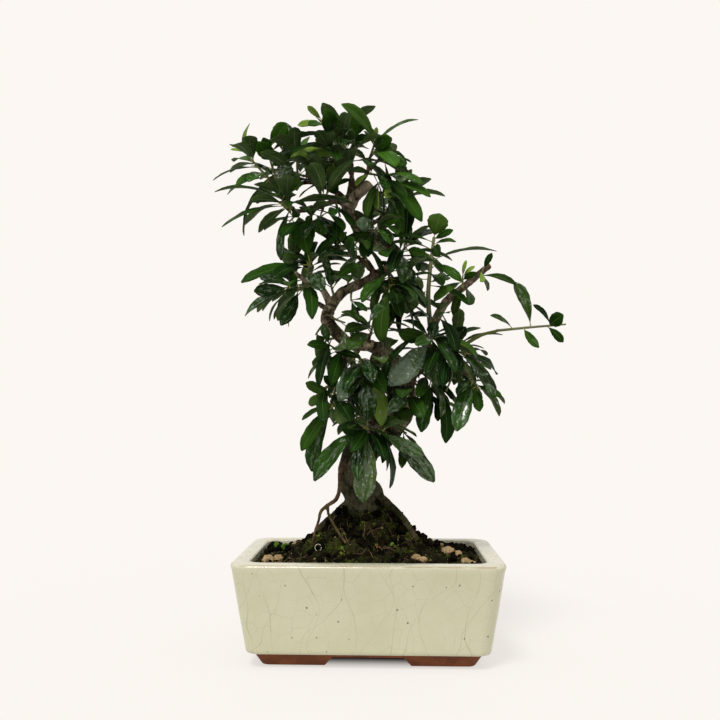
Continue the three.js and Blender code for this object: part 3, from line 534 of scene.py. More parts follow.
# %% [markdown]
# ## Glaze and clay
# The glaze is a cream celadon that crazed as it cooled: long cracks that sway up the wall, with
# finer ones between, stained a little darker than the glaze. Where it ran thin over the rim's edge
# the iron below shows amber, and a few iron specks burnt through. Cells of a Voronoi texture meet
# in lines just as a shrinking skin cracks. Cells along one axis only give the long cracks, and flat
# cells the small ones. The band and the feet are bare red-brown clay, matt and a little sandy.

# %% Glaze and clay
GLAZE = {
    "body": (0.47, 0.466, 0.312, 1), "pale": (0.5, 0.49, 0.34, 1), "dull": (0.415, 0.41, 0.262, 1),
    "rim": (0.43, 0.425, 0.33, 1), "crack": (0.23, 0.215, 0.105, 1), "amber": (0.24, 0.15, 0.06, 1),
    "iron": (0.06, 0.04, 0.018, 1),
}


def on_slant(recipe, where):
    """Flattens places along a slant that no wall and no rim of the pot lies on."""
    part = recipe.add("SeparateXYZ", {0: where}).outputs
    across = recipe.plus(part["X"], recipe.times(part["Y"], 0.5))
    up = recipe.plus(part["Z"], recipe.times(part["Y"], 0.8))
    return recipe.add("CombineXYZ", {"X": across, "Y": up}).outputs[0]


def borders(recipe, inputs, dimensions, width):
    """Thin lines where the cells of a Voronoi texture meet."""
    cells = recipe.add("TexVoronoi", inputs, feature="DISTANCE_TO_EDGE", voronoi_dimensions=dimensions)
    return recipe.ramp(cells.outputs["Distance"], width * 0.3, width, 1, 0)


def crack_lines(recipe, where, scale, width):
    """Short cracks round small cells, bent so that none is straight."""
    bend = recipe.add("TexNoise", {"Vector": where, "Scale": scale * 0.6, "Detail": 2.0})
    bend = {0: bend.outputs["Color"], "Scale": 0.55 / scale}
    amount = recipe.add("VectorMath", bend, operation="SCALE").outputs[0]
    bent = recipe.add("VectorMath", {0: where, 1: amount}, operation="ADD").outputs[0]
    return borders(recipe, {"Vector": bent, "Scale": scale}, "2D", width)


def long_cracks(recipe, flat, slant, scale, width):
    """Cracks that run up the wall on a slant, each swaying as it goes."""
    part = recipe.add("SeparateXYZ", {0: flat}).outputs
    lean_over = recipe.plus(part["X"], recipe.times(part["Y"], slant))
    sway = recipe.times(recipe.noise(flat, 19.0 + 9 * abs(slant), 1, 0.4), 0.055)
    across = recipe.plus(lean_over, sway)
    return borders(recipe, {"W": across, "Scale": scale}, "1D", width)


def build_glaze():
    material, recipe, shader = new_material("cream_crackle_glaze")
    where = recipe.place()
    flat = on_slant(recipe, where)
    tone = recipe.use(mottle, Place=where, Scale=22.0)
    body = recipe.mix(tone["Value"], GLAZE["body"], GLAZE["pale"])
    body = recipe.mix(recipe.times(tone["Fine"], 0.12), body, GLAZE["dull"])
    # Painted light: the flat top of the rim gets a greyer tone of its own, set for the light that falls
    # on it from above.
    body = recipe.mix(recipe.times(recipe.read("rim"), 0.8), body, GLAZE["rim"])
    steep = long_cracks(recipe, flat, 0.12, 38.0, 0.0105)
    slanted = long_cracks(recipe, flat, -0.55, 30.0, 0.008)
    small = crack_lines(recipe, flat, 92.0, 0.0125)
    strong = recipe.ramp(recipe.noise(where, 40.0, 2), 0.4, 0.58, 0.2, 0.65)
    fade = recipe.ramp(recipe.noise(where, 45.0, 2), 0.38, 0.62, 0.25, 1)
    long = recipe.math("MAXIMUM", recipe.times(steep, strong), recipe.times(slanted, 0.4))
    cracks = recipe.math("MAXIMUM", long, recipe.times(recipe.times(small, fade), 0.5))
    colour = recipe.mix(cracks, body, GLAZE["crack"])
    worn = recipe.ramp(recipe.noise(where, 90.0, 3), 0.35, 0.6, 0.35, 1)
    edge = recipe.times(recipe.read("thin_glaze"), worn)
    colour = recipe.mix(recipe.times(edge, 0.9), colour, GLAZE["amber"])
    dots = recipe.add("TexVoronoi", {"Vector": flat, "Scale": 120.0}, voronoi_dimensions="2D").outputs
    draw = recipe.add("SeparateXYZ", {0: dots["Color"]}).outputs
    size = recipe.ramp(draw["Y"], 0.2, 1, 0.02, 0.085)
    specks = recipe.ramp(recipe.minus(dots["Distance"], size), -0.015, 0.01, 1, 0)
    specks = recipe.times(specks, recipe.ramp(draw["X"], 0.76, 0.78))
    colour = recipe.mix(recipe.times(specks, 0.85), colour, GLAZE["iron"])
    gloss = recipe.ramp(tone["Fine"], 0, 1, 0.2, 0.34)
    relief = recipe.minus(recipe.noise(where, 60.0, 2), recipe.times(cracks, 0.35))
    finish(recipe, shader, colour, gloss, relief, 0.12, 0.001, Coat_Weight=0.25, Coat_Roughness=0.25)
    return material


def build_clay():
    material, recipe, shader = new_material("bare_clay")
    where = recipe.place()
    tone = recipe.use(mottle, Place=where, Scale=70.0)
    sand = recipe.use(grain, Place=where, Scale=900.0)
    colour = recipe.mix(tone["Value"], (0.115, 0.035, 0.0125, 1), (0.175, 0.056, 0.021, 1))
    colour = recipe.mix(recipe.times(sand["Pits"], 0.3), colour, (0.06, 0.024, 0.011, 1))
    plain = {"Roughness": 0.8, "Specular_IOR_Level": 0.15}
    finish(recipe, shader, colour, None, sand["Height"], 0.25, 0.0006, **plain)
    return material


def dress_pot():
    pot = shape_pot([build_glaze(), build_clay()])
    points = coordinates(pot.data)
    outward = np.abs(points[:, :2] - POT_MIDDLE[:2]) / MM
    inset = np.minimum(POT["length"] / 2 - outward[:, 0], POT["width"] / 2 - outward[:, 1])
    height = points[:, 2] / MM
    on_edge = np.exp(-(((height - POT["height"] + 1.2) / 0.45) ** 2)) * (inset < 2.2)
    on_edge += 0.6 * (np.abs(inset - POT["rim"] + 0.5) < 0.6) * (height > POT["height"] - 1.2)
    paint(pot.data, "thin_glaze", on_edge)
    # The rim's top, which the glaze paints in a tone of its own as painted light.
    paint(pot.data, "rim", np.clip((height - POT["height"] + 4) / 2.5, 0, 1))
    for face in pot.data.polygons:
        face.material_index = 1 if face.center.z < (CLAY["top"] + 0.25) * MM else 0
    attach(pot, "root")
    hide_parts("pot")
    sharp = pot.modifiers.new("soft_edges", "BEVEL")
    sharp.width = 0.7 * MM
    sharp.segments = 2
    sharp.limit_method = "ANGLE"
    sharp.angle_limit = math.radians(50)
    print("pot skin", len(pot.data.polygons), "faces, soft edges", round(sharp.width / MM, 1), "mm")


dress_pot()

# %% [markdown]
# ## Drain screens
# Two squares of black plastic mesh keep the soil from running out. They lie hidden under it, so
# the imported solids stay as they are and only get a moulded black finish.

# %% Drain screens
def dress_screens():
    material, recipe, shader = new_material("black_mesh")
    tone = recipe.use(mottle, Place=recipe.place(), Scale=200.0)
    colour = recipe.mix(tone["Value"], (0.01, 0.011, 0.01, 1), (0.02, 0.022, 0.02, 1))
    finish(recipe, shader, colour, None, tone["Fine"], 0.15, 0.0004, Roughness=0.6)
    for side in ("left", "right"):
        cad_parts[f"drain_screen_{side}"].material_slots[0].material = material
    print("drain screens in", material.name)


dress_screens()

# %% [markdown]
# ## The soil
# The tree was lifted on a mound as it grew, with roots over it. The ground is one fine grid, raised
# by the same rule as the solid's surface and then roughened with crumbs of two sizes; its rim is
# drawn down inside the pot so that the body is closed. Sculpting would give the same kind of
# surface, but a rule can be read and changed.

# %% Soil shape
SOIL = {"level": 71.6, "mound": 56, "top": 44, "spread": 38, "across": 28, "middle": -2}
SUNK = 0.6
SOIL_GRID = {"along": 290, "across": 172, "foot": FLOOR + 22, "drawn_in": (0.06, 0.09)}


def ground(x, y):
    """Height of the soil, as in the solid: level ground, the mound and slow lumps."""
    away = math.hypot(x - SOIL["middle"], y * SOIL["spread"] / SOIL["across"])
    mound = min(SOIL["top"], SOIL["mound"] * math.exp(-((away / SOIL["spread"]) ** 1.6)))
    lumps = 0.7 * math.sin(x * 0.21 + 1) * math.cos(y * 0.27) + 0.5 * math.sin(x * 0.47 - y * 0.39)
    return SOIL["level"] + mound + lumps


def crumbs(x, y, z):
    """Clods and crumbs on the soil, as a height in millimetres."""
    spot = Vector((x, y, z))
    clods = 1.1 - noise.voronoi(spot / 5.5)[0][0] * 2.0
    small = 0.8 - noise.voronoi(spot / 2.1 + Vector((7, 3, 1)))[0][0] * 1.4
    slope = min(1, max(0, (z - SOIL["level"]) / 12))
    lumps = noise.noise(spot / 9) + 0.6 * noise.noise(spot / 4)
    return (1.2 + 0.6 * slope) * clods + 0.9 * small + (0.8 + 2.2 * slope) * lumps


def top_of(x, y):
    """Height of the finished soil, whose crumbs are sunk a little into the solid."""
    z = ground(x, y)
    return z + crumbs(x, y, z) - SUNK


def into_pot(u, v, half, radius):
    """A point of a square, -1 to 1 each way, in the pot's rounded mouth."""
    x, y = u * half[0], v * half[1]
    dx, dy = abs(x) - (half[0] - radius), abs(y) - (half[1] - radius)
    if dx > 0 and dy > 0:
        pull = max(dx, dy) / math.hypot(dx, dy)
        x = math.copysign(half[0] - radius + dx * pull, x)
        y = math.copysign(half[1] - radius + dy * pull, y)
    return x, y


def shape_soil(material):
    inset = POT["rim"] + 1.0
    half = (POT["length"] / 2 - inset, POT["width"] / 2 - inset)
    bm = bmesh.new()
    along, across = SOIL_GRID["along"], SOIL_GRID["across"]
    bmesh.ops.create_grid(bm, x_segments=along, y_segments=across, size=1)
    # How high each crumb stands. The soil's finish paints the crests lighter from it, as painted light,
    # and grows its moss on them.
    rise_of = bm.verts.layers.float.new("rise")
    for vert in bm.verts:
        x, y = into_pot(vert.co.x, vert.co.y, half, 9)
        z = ground(x, y)
        edge = min(1, (1 - max(abs(vert.co.x), abs(vert.co.y))) * 12)
        rise = crumbs(x, y, z)
        vert.co = in_frame((x, y, z + rise * (0.3 + 0.7 * edge) - SUNK))
        vert[rise_of] = min(1, max(0, rise / 5 + 0.45))
    rim = [edge for edge in bm.edges if edge.is_boundary]
    wall = bmesh.ops.extrude_edge_only(bm, edges=rim)["geom"]
    for vert in (item for item in wall if isinstance(item, bmesh.types.BMVert)):
        vert.co.z = SOIL_GRID["foot"] * MM
        vert.co.x += (POT_MIDDLE[0] - vert.co.x) * SOIL_GRID["drawn_in"][0]
        vert.co.y += (POT_MIDDLE[1] - vert.co.y) * SOIL_GRID["drawn_in"][1]
    bmesh.ops.contextual_create(bm, geom=[edge for edge in bm.edges if edge.is_boundary])
    return new_piece("soil_ground", bm, [material])


def build_soil_material():
    material, recipe, shader = new_material("damp_soil")
    where = recipe.place()
    crumb = recipe.use(grain, Place=where, Scale=480.0)
    tone = recipe.use(mottle, Place=where, Scale=90.0)
    colour = recipe.mix(tone["Value"], (0.002, 0.002, 0.001, 1), (0.009, 0.0075, 0.004, 1))
    # Painted light: the crests of the crumbs are painted a lighter brown.
    rise = recipe.read("rise")
    lit_crests = recipe.times(recipe.ramp(rise, 0.4, 1), 0.8)
    colour = recipe.mix(lit_crests, colour, (0.03, 0.026, 0.012, 1))
    normal = recipe.add("NewGeometry").outputs["Normal"]
    film = recipe.use(moss, Place=where, Normal=normal, Top=0.15)["Mask"]
    green = recipe.mix(tone["Fine"], (0.009, 0.014, 0.003, 1), (0.048, 0.058, 0.008, 1))
    colour = recipe.mix(recipe.times(film, recipe.ramp(rise, 0.2, 0.8)), colour, green)
    # Painted shade: the grain's pits are darkened almost to black.
    colour = recipe.mix(recipe.times(crumb["Pits"], 0.6), colour, (0.002, 0.002, 0.001, 1))
    wet = recipe.ramp(tone["Value"], 0, 1, 0.55, 0.95)
    finish(recipe, shader, colour, wet, crumb["Height"], 0.7, 0.0014, Specular_IOR_Level=0.01)
    return material


def dress_soil():
    soil = shape_soil(damp_soil)
    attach(soil, "root")
    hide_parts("soil")
    print("soil", len(soil.data.polygons), "faces")


damp_soil = build_soil_material()
dress_soil()

# %% [markdown]
# ## Grit on the soil
# Bonsai soil is sifted grit with peat, so crumbs of bark, fired clay and pumice lie loose on it.
# Each crumb is a small ball of twenty faces, squashed and turned by seeded draws and laid on the
# ground, with a tint of its own. A particle system would scatter them too, but loses its copies
# when the model is exported.

# %% Grit
GRIT = 1500


def build_grit_material():
    material, recipe, shader = new_material("grit")
    where = recipe.place()
    tint = recipe.read("tint")
    rough = recipe.use(grain, Place=where, Scale=1400.0)
    colour = recipe.mix(recipe.ramp(tint, 0.0, 0.6), (0.004, 0.003, 0.002, 1), (0.028, 0.021, 0.011, 1))
    colour = recipe.mix(recipe.ramp(tint, 0.93, 0.99), colour, (0.26, 0.18, 0.09, 1))
    plain = {"Roughness": 0.9, "Specular_IOR_Level": 0.1}
    finish(recipe, shader, colour, None, rough["Height"], 0.4, 0.0004, **plain)
    return material


def scatter_grit():
    draws = random.Random(11)
    bm = bmesh.new()
    tint_of = bm.verts.layers.float.new("tint")
    half = (POT["length"] / 2 - POT["rim"] - 3, POT["width"] / 2 - POT["rim"] - 3)
    for _ in range(GRIT):
        x, y = into_pot(draws.uniform(-1, 1), draws.uniform(-1, 1), half, 8)
        size = 0.5 + 1.0 * draws.random() ** 3
        tint = draws.random()
        z = top_of(x, y) + size * 0.3
        made = bmesh.ops.create_icosphere(bm, subdivisions=1, radius=size * MM)["verts"]
        squash = Matrix.Diagonal((1, draws.uniform(0.6, 0.9), draws.uniform(0.5, 0.8)))
        spin, tip = draws.uniform(0, 6.3), draws.uniform(-0.6, 0.6)
        turn = Matrix.Rotation(spin, 3, "Z") @ Matrix.Rotation(tip, 3, "X")
        spot = Vector(in_frame((x, y, z)))
        for vert in made:
            vert.co = turn @ squash @ vert.co + spot
            vert[tint_of] = tint
    grit = new_piece("loose_grit", bm, [build_grit_material()], smooth=False)
    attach(grit, "root")
    print("grit", GRIT, "crumbs")


scatter_grit()

# %% [markdown]
# ## Pumice
# The tan lumps are pumice and the round one at the back a pebble. Each solid is copied, remeshed
# into small even faces and smoothed, and then pushed out and in by noise so that its pits show.
# Working from the solid keeps every lump exactly where it lies.

# %% Pumice
STONE_NODES = [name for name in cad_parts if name.startswith(("pumice", "pebble"))]


def build_pumice_material():
    material, recipe, shader = new_material("pumice")
    where = recipe.place()
    rough = recipe.use(grain, Place=where, Scale=650.0)
    tone = recipe.use(mottle, Place=where, Scale=130.0)
    colour = recipe.mix(tone["Value"], (0.17, 0.105, 0.043, 1), (0.33, 0.23, 0.115, 1))
    colour = recipe.mix(recipe.times(tone["Fine"], 0.35), colour, (0.44, 0.35, 0.21, 1))
    colour = recipe.mix(recipe.times(rough["Pits"], 0.5), colour, (0.1, 0.06, 0.03, 1))
    plain = {"Roughness": 0.95, "Specular_IOR_Level": 0.15}
    finish(recipe, shader, colour, None, rough["Height"], 0.5, 0.0008, **plain)
    return material


def remeshed_copy(name, node, size):
    """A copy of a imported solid, in even faces of the given size in millimetres."""
    bm = bmesh.new()
    bm.from_mesh(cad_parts[node].data)
    bmesh.ops.remove_doubles(bm, verts=bm.verts[:], dist=0.00001)
    return even_out(new_piece(name, bm, []), size)


def smooth(mesh, times):
    axes = {f"use_axis_{axis}": True for axis in "xyz"}
    bm = bmesh.new()
    bm.from_mesh(mesh)
    for _ in range(times):
        bmesh.ops.smooth_vert(bm, verts=bm.verts[:], factor=0.5, **axes)
    bm.to_mesh(mesh)
    bm.free()


def push(mesh, rises):
    """Moves each point along its normal by its own rise, in millimetres."""
    normals = np.empty(len(mesh.vertices) * 3)
    mesh.vertices.foreach_get("normal", normals)
    points = coordinates(mesh) + normals.reshape(-1, 3) * np.array(rises)[:, None] * MM
    mesh.vertices.foreach_set("co", points.ravel())
    mesh.update()


def pumice_relief(p):
    hollow = max(0, 0.4 - noise.voronoi(p / 1.3)[0][0])
    return 0.45 + 0.5 * noise.noise(p / 2.4) - 0.5 * hollow


def dress_stones():
    material = build_pumice_material()
    for node in STONE_NODES:
        stone = remeshed_copy(f"{node}_stone", node, 0.35)
        smooth(stone.data, 4)
        push(stone.data, [pumice_relief(Vector(spot) / MM) for spot in coordinates(stone.data)])
        stone.data.materials.append(material)
        shade(stone.data)
        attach(stone, "root")
        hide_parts(node)
    print("stones", len(STONE_NODES))


dress_stones()

# %% [markdown]
# ## The wood
# An old firethorn's trunk bends at every place where it was cut back. Its line is a row of points
# with a radius each, and so is the line of every branch, stub and root, in the tree's own
# millimetres: x, y, z, radius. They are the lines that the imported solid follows.

# %% Lines of the wood
TRUNK = [
    [-9, 2, 54, 14], [-10, 0, 72, 20], [-10, 0, 90, 20], [-8, 0, 106, 18.4], [-6.5, 0, 120, 16],
    [-11, 0, 130, 14], [-13, 0, 142, 14.6], [-6.5, 2, 160.5, 14.6], [8, 4, 175, 14.5], [19, 5, 188, 15],
    [24, 4, 200, 12], [24.5, 1, 214, 9.6], [21, -4, 226, 7.6], [11, -9, 237.5, 5.8],
    [-2.4, -13, 243, 4.7], [-17, -16, 244, 4.5], [-27.5, -16, 252, 4.9], [-36.5, -14, 264, 5.5],
    [-33, -12, 276, 4.5], [-23, -9, 288, 4.2], [-9, -4, 294, 3.9], [4, 1, 300.6, 4.2],
    [15.4, 6, 308, 4.4], [21, 8, 317, 4.4], [15.4, 8, 325, 4.3], [4, 6, 333, 4.5],
    [-7.3, 4, 339.5, 4.8], [-15.4, 2, 347, 5.4], [-19.4, 0, 356.5, 5.8], [-21, -1, 364, 5.2],
]

BRANCHES = {
    "cut_stub": [[-19, 0, 357, 5], [-12, -5, 368, 4.8], [-1, -9, 377.6, 4.6]],
    "crown_twig": [[-20, -1, 360, 3], [-17, 2, 379, 2.3], [-17, 4, 395, 1.9], [-21, 4, 406, 1.4]],
    "crown_right": [[-18, 0, 366, 2.4], [-4, 4, 386, 1.9], [-2.4, 6, 396, 1.6], [0, 6, 403, 1.2]],
    "left": [
        [-19, 0, 357, 3], [-29, -4, 363, 2.5], [-49, -10, 356.5, 2], [-61.6, -13, 355, 1.7],
        [-67, -14, 357, 1.4],
    ],
    "upper_left": [
        [-20, 0, 361, 3], [-29, 5, 370, 2.6], [-49, 6, 379, 2.1], [-65.6, 2, 377, 1.8],
        [-85, -4, 381, 1.3],
    ],
    "crown_back": [[-19, 2, 358, 2.8], [-14, 18, 372, 2.2], [-18, 34, 388, 1.6], [-21, 41, 400, 1.2]],
    "crown_back_left": [[-29, 5, 370, 2], [-40, 24, 378, 1.7], [-57, 37, 385, 1.2]],
    "right": [[24, 2, 204, 6], [35.6, -2, 225, 4.6], [43.7, -4, 241.5, 3.4], [48.6, -4, 256, 2.3]],
    "sawn_end": [[47, -4, 254, 3.5], [60, -3, 278, 3.6], [76, 0, 291.7, 3.2], [96.4, 2, 308.7, 2.7]],
    "far_right": [
        [43.7, -4, 240, 2.2], [56, -6, 240, 1.9], [70.5, -6, 241.5, 1.8], [88, -4, 251, 1.5],
        [102, -3, 255, 1.3],
    ],
    "fork": [[4, 1, 301, 3], [-4, -4, 309.5, 2.4], [-12, -7, 317, 1.6]],
    "left_woody": [
        [-34, -12, 276, 3.2], [-41, -17, 290, 2.6], [-53.5, -19, 296, 2.1], [-63, -20, 304, 1.7],
    ],
    "middle": [[-4, -13, 243, 2.2], [-2, -20, 250, 1.5], [0, -23, 256, 1.1]],
    "low_right": [[54, -6, 240, 1.9], [62, -12, 231, 1.5], [72, -16, 223, 1.3], [78, -16, 219, 1.1]],
    "low_front": [[8, 0, 178, 2.8], [2, -14, 180, 1.9], [-3, -24, 179, 1.4]],
    "low_left": [
        [-20, -16, 245, 2.3], [-23, -20, 229, 1.7], [-28, -22, 213, 1.4], [-30, -24, 206, 1.1],
    ],
    "low_middle": [[11, -9, 238, 2.6], [5, -18, 230, 1.7], [0, -22, 227, 1.3]],
    "back_low": [[20, 6, 196, 3], [12, 24, 206, 2.2], [4, 38, 213, 1.4]],
    "back_right": [[24, 4, 210, 3], [40, 22, 222, 2.1], [55, 35, 235, 1.4]],
    "back_middle": [[4, 1, 300, 2.8], [2, 18, 304, 2], [-3, 33, 313, 1.4]],
    "back_left": [[-34, -12, 272, 2.8], [-44, 6, 278, 1.9], [-54, 23, 288, 1.4]],
    "back_upper": [[-7, 4, 340, 2.6], [4, 20, 346, 1.9], [15, 31, 355, 1.3]],
    "back_foot": [[8, 4, 176, 3], [6, 24, 184, 2], [2, 36, 186, 1.4]],
    "right_root": [
        [2, -4, 124, 4], [14, -8, 114, 3.6], [23.5, -10, 105, 3], [30, -12, 96, 2.6], [36, -14, 86, 2],
    ],
    "left_root": [[-18, 2, 116, 4.5], [-30, 0, 106, 3.6], [-40, -2, 98, 2.8], [-50, -2, 86, 2]],
    "back_root": [[-6, 12, 116, 5], [0, 24, 104, 3.8], [10, 34, 92, 2.6], [16, 42, 78, 2]],
    "back_left_root": [[-16, 10, 114, 4.5], [-28, 20, 102, 3.4], [-36, 28, 90, 2.4], [-42, 34, 78, 2]],
    "aerial_root": [
        [-20, -9, 150, 2.4], [-25.5, -13, 140, 2], [-26, -16, 128, 1.9], [-29, -21, 119, 1.7],
        [-37, -24, 113.5, 1.6],
    ],
    "aerial_left": [
        [-35, -23, 115, 1.5], [-41, -25, 109.5, 1.4], [-43, -26, 102, 1.2], [-46, -27, 93, 1.2],
        [-48, -28, 82, 1.1],
    ],
    "aerial_right": [
        [-36, -24, 114, 1.4], [-35, -27, 107, 1.3], [-32, -30, 101, 1.2], [-28, -33, 94, 1.2],
        [-21, -36, 84, 1.1],
    ],
}

THORNS = [
    [[-3, -2, 297], [-2, -8, 281]], [[-19, -10, 290], [-21, -16, 306]], [[20, 8, 317], [36, 4, 317]],
    [[-60, -20, 302], [-71, -24, 285]], [[30, 2, 215], [44, -4, 212]], [[44, -4, 246], [34, -10, 252]],
    [[-40, -8, 357], [-44, -14, 347]],
]
print("wood: trunk,", len(BRANCHES), "branches, stubs and roots,", len(THORNS), "thorns")

# %% [markdown]
# ## Bark
# The limbs are round tubes that cross inside each other. A voxel remesh melts them into one skin
# with soft crotches, as a real tree has, and then noise swells knots, sinks furrows and roughens
# the bark, less on thin wood, which is smooth. A skin modifier would join the limbs as well, but
# it guesses at forks and twists there.

# %% Wood shape
VOXEL = 0.8
SIDES = {"trunk": 20, "branch": 12, "thorn": 8}
THORN = ((0, 1.3), (0.35, 1.05), (0.7, 0.8), (1, 0.5))
AT_ONCE = 4000


def limb_centres(points):
    line = Line(points)
    count = max(8, round(line.length() / 2.5))
    ts = np.linspace(0, 1, count)
    return line.at(ts), [line.radius(t) for t in ts]


def shape_wood():
    bm = bmesh.new()
    centres, radii = limb_centres(TRUNK)
    samples = [(*sample, 0) for sample in zip(centres, radii)]
    tube(bm, centres, radii, SIDES["trunk"])
    for number, points in enumerate(BRANCHES.values()):
        centres, radii = limb_centres(points)
        samples += [(*sample, number + 1) for sample in zip(centres, radii)]
        tube(bm, centres, radii, SIDES["branch"])
    for foot, point in THORNS:
        start, end = place(foot), place(point)
        spots = [start + (end - start) * part for part, _ in THORN]
        tube(bm, spots, [radius for _, radius in THORN], SIDES["thorn"])
    return even_out(new_piece("bark", bm, []), VOXEL), samples


def limb_at(points, samples):
    """For each point of the skin, the radius of the limb that it lies on and its number."""
    centres = in_frame([centre for centre, *_ in samples])
    radii = np.array([radius for _, radius, _ in samples])
    found = np.empty(len(points), dtype=int)
    for start in range(0, len(points), AT_ONCE):
        some = slice(start, start + AT_ONCE)
        away = np.linalg.norm(points[some, None] - centres[None], axis=2)
        found[some] = (away - radii * MM).argmin(axis=1)
    return radii[found], np.array([limb for *_, limb in samples])[found]


def bark_relief(p, radius):
    """Swellings, furrows and flakes at a point in millimetres, by the wood's radius."""
    old = min(1, max(0, (radius - 1.5) / 8))
    knots = noise.noise(p / (5 + 8 * old))
    flat = Vector((p.x, p.y, p.z * 0.45))
    furrows = abs(noise.noise(flat / 2.6)) - 0.3
    flakes = noise.noise(p / 1.1)
    return (0.25 + 1.3 * old) * knots + (0.15 + 0.8 * old) * furrows + (0.08 + 0.12 * old) * flakes


# %% [markdown]
# Bark colour goes with age: warm red-brown on young twigs, grey-brown on old wood with patches of
# pale lichen. On old wood the relief is painted in, with its ridges pale as painted light and its
# hollows nearly black as painted shade. On all wood the furrows of the grain are painted nearly
# black, partly their own colour and partly painted shade. Low on the trunk, under the crown, the
# bark is painted near black as painted shade, darker towards the soil, under a green film, and one
# twig on the right is still green. Sawn ends show the wood: points there carry a number that is 1
# at the cut and 0 a little below it.

# %% Bark finish
SAWN = {"cut_stub": 5.2, "sawn_end": 3.0, "left_woody": 2.2}
NO_BARK = ("cut_stub", "left_woody")
GREEN_TWIG = {"from": 55, "over": 12, "low": 234, "high": 264}
BARK = {
    "young": (0.05, 0.03, 0.017, 1), "young_pale": (0.12, 0.075, 0.042, 1),
    "old": (0.045, 0.033, 0.019, 1), "old_pale": (0.17, 0.14, 0.085, 1),
    "lichen": (0.3, 0.255, 0.165, 1), "ridge": (0.46, 0.39, 0.26, 1),
    "hollow": (0.014, 0.01, 0.005, 1), "crack": (0.01, 0.008, 0.004, 1),
    "film": (0.035, 0.045, 0.008, 1), "green": (0.075, 0.085, 0.02, 1),
    "low_shade": (0.003, 0.004, 0.0014, 1), "low_shade_green": (0.014, 0.018, 0.005, 1),
    "bare": (0.3, 0.25, 0.175, 1), "sawn": (0.3, 0.22, 0.15, 1), "sawn_pale": (0.55, 0.45, 0.33, 1),
}


def build_bark():
    material, recipe, shader = new_material("bark")
    where = recipe.place()
    flat = recipe.add("Mapping", {"Vector": where, "Scale": (1, 1, 0.4)}).outputs[0]
    tone = recipe.use(mottle, Place=where, Scale=55.0)
    ridge = recipe.noise(flat, 420.0, 5, 0.65)
    old = recipe.read("age")
    young = recipe.mix(tone["Fine"], BARK["young"], BARK["young_pale"])
    aged = recipe.mix(tone["Value"], BARK["old"], BARK["old_pale"])
    aged = recipe.mix(recipe.times(tone["Fine"], 0.4), aged, BARK["lichen"])
    # Painted light and shade: the ridges of the relief are painted pale and its hollows nearly black.
    rise = recipe.read("rise")
    high, low = recipe.ramp(rise, 0.46, 0.74), recipe.ramp(rise, 0.22, 0.48, 1, 0)
    aged = recipe.mix(recipe.times(high, 0.8), aged, BARK["ridge"])
    aged = recipe.mix(recipe.times(low, 0.85), aged, BARK["hollow"])
    colour = recipe.mix(old, young, aged)
    # The furrows of the grain are painted nearly black: partly their own dark colour, partly painted
    # shade.
    dark = recipe.ramp(ridge, 0.36, 0.55, 1, 0)
    colour = recipe.mix(recipe.times(dark, 0.75), colour, BARK["crack"])
    normal = recipe.add("NewGeometry").outputs["Normal"]
    film = recipe.use(moss, Place=where, Normal=normal, Top=0.18)["Mask"]
    colour = recipe.mix(recipe.times(film, 0.6), colour, BARK["film"])
    colour = recipe.mix(recipe.read("green"), colour, BARK["green"])
    # Painted shade: old wood low down, under the crown, is painted near black, most of all towards the
    # soil.
    height = recipe.add("SeparateXYZ", {0: where}).outputs["Z"]
    low_shade = recipe.times(recipe.ramp(height, 0.125, 0.225, 0.88, 0), recipe.ramp(old, 0.1, 0.5))
    colour = recipe.mix(low_shade, colour, recipe.mix(tone["Fine"], BARK["low_shade"], BARK["low_shade_green"]))
    pale = recipe.times(recipe.read("bare"), recipe.ramp(recipe.noise(flat, 160.0, 4), 0.4, 0.55))
    colour = recipe.mix(recipe.times(pale, 0.8), colour, BARK["bare"])
    fresh = recipe.mix(ridge, BARK["sawn"], BARK["sawn_pale"])
    colour = recipe.mix(recipe.read("sawn"), colour, fresh)
    plain = {"Roughness": 0.9, "Specular_IOR_Level": 0.08}
    finish(recipe, shader, colour, None, ridge, 0.7, 0.0011, **plain)
    return material


def sawn_share(points):
    sawn = np.zeros(len(points))
    for name, reach in SAWN.items():
        line = Line(BRANCHES[name])
        end, along = in_frame(line.at(1)[0]), line.along(1)
        past = (points - end) @ along / MM
        near_end = np.linalg.norm(points - end, axis=1) / MM < reach + 1.5
        sawn = np.maximum(sawn, np.clip((past + 0.9) / 0.6, 0, 1) * near_end)
    return sawn


def dress_wood():
    wood, samples = shape_wood()
    smooth(wood.data, 2)
    spots = coordinates(wood.data)
    radii, limbs = limb_at(spots, samples)
    rises = [bark_relief(Vector(spot) / MM, radius) for spot, radius in zip(spots, radii)]
    push(wood.data, rises)
    # The relief, which the bark's finish turns into painted light and shade.
    paint(wood.data, "rise", np.clip(0.5 + 0.7 * np.array(rises), 0, 1))
    paint(wood.data, "age", np.clip((radii - 1.6) / 3.5, 0, 1))
    bare = [1 + list(BRANCHES).index(name) for name in NO_BARK]
    paint(wood.data, "bare", np.isin(limbs, bare))
    points = coordinates(wood.data)
    paint(wood.data, "sawn", sawn_share(points))
    x, z = (points[:, 0] - POT_MIDDLE[0]) / MM, points[:, 2] / MM
    out = np.clip((x - GREEN_TWIG["from"]) / GREEN_TWIG["over"], 0, 1)
    paint(wood.data, "green", out * (z > GREEN_TWIG["low"]) * (z < GREEN_TWIG["high"]))
    wood.data.materials.append(build_bark())
    shade(wood.data)
    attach(wood, "root")
    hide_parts("trunk")
    print("wood", len(wood.data.polygons), "faces")


dress_wood()

# %% [markdown]
# ## Where the leaves stand
# Firethorn bears narrow leaves in close spirals on short shoots. Each shoot has a stem line, and
# its leaves are written with their place along the stem, the tip and the width that shows from the
# front, less than 0 where the pale underside faces the eye. `more` leaves stand round the stem by a
# rule. These are the words in which the solids' leaves are written, and the rules below are
# theirs too, so that every fine leaf grows where its solid is.

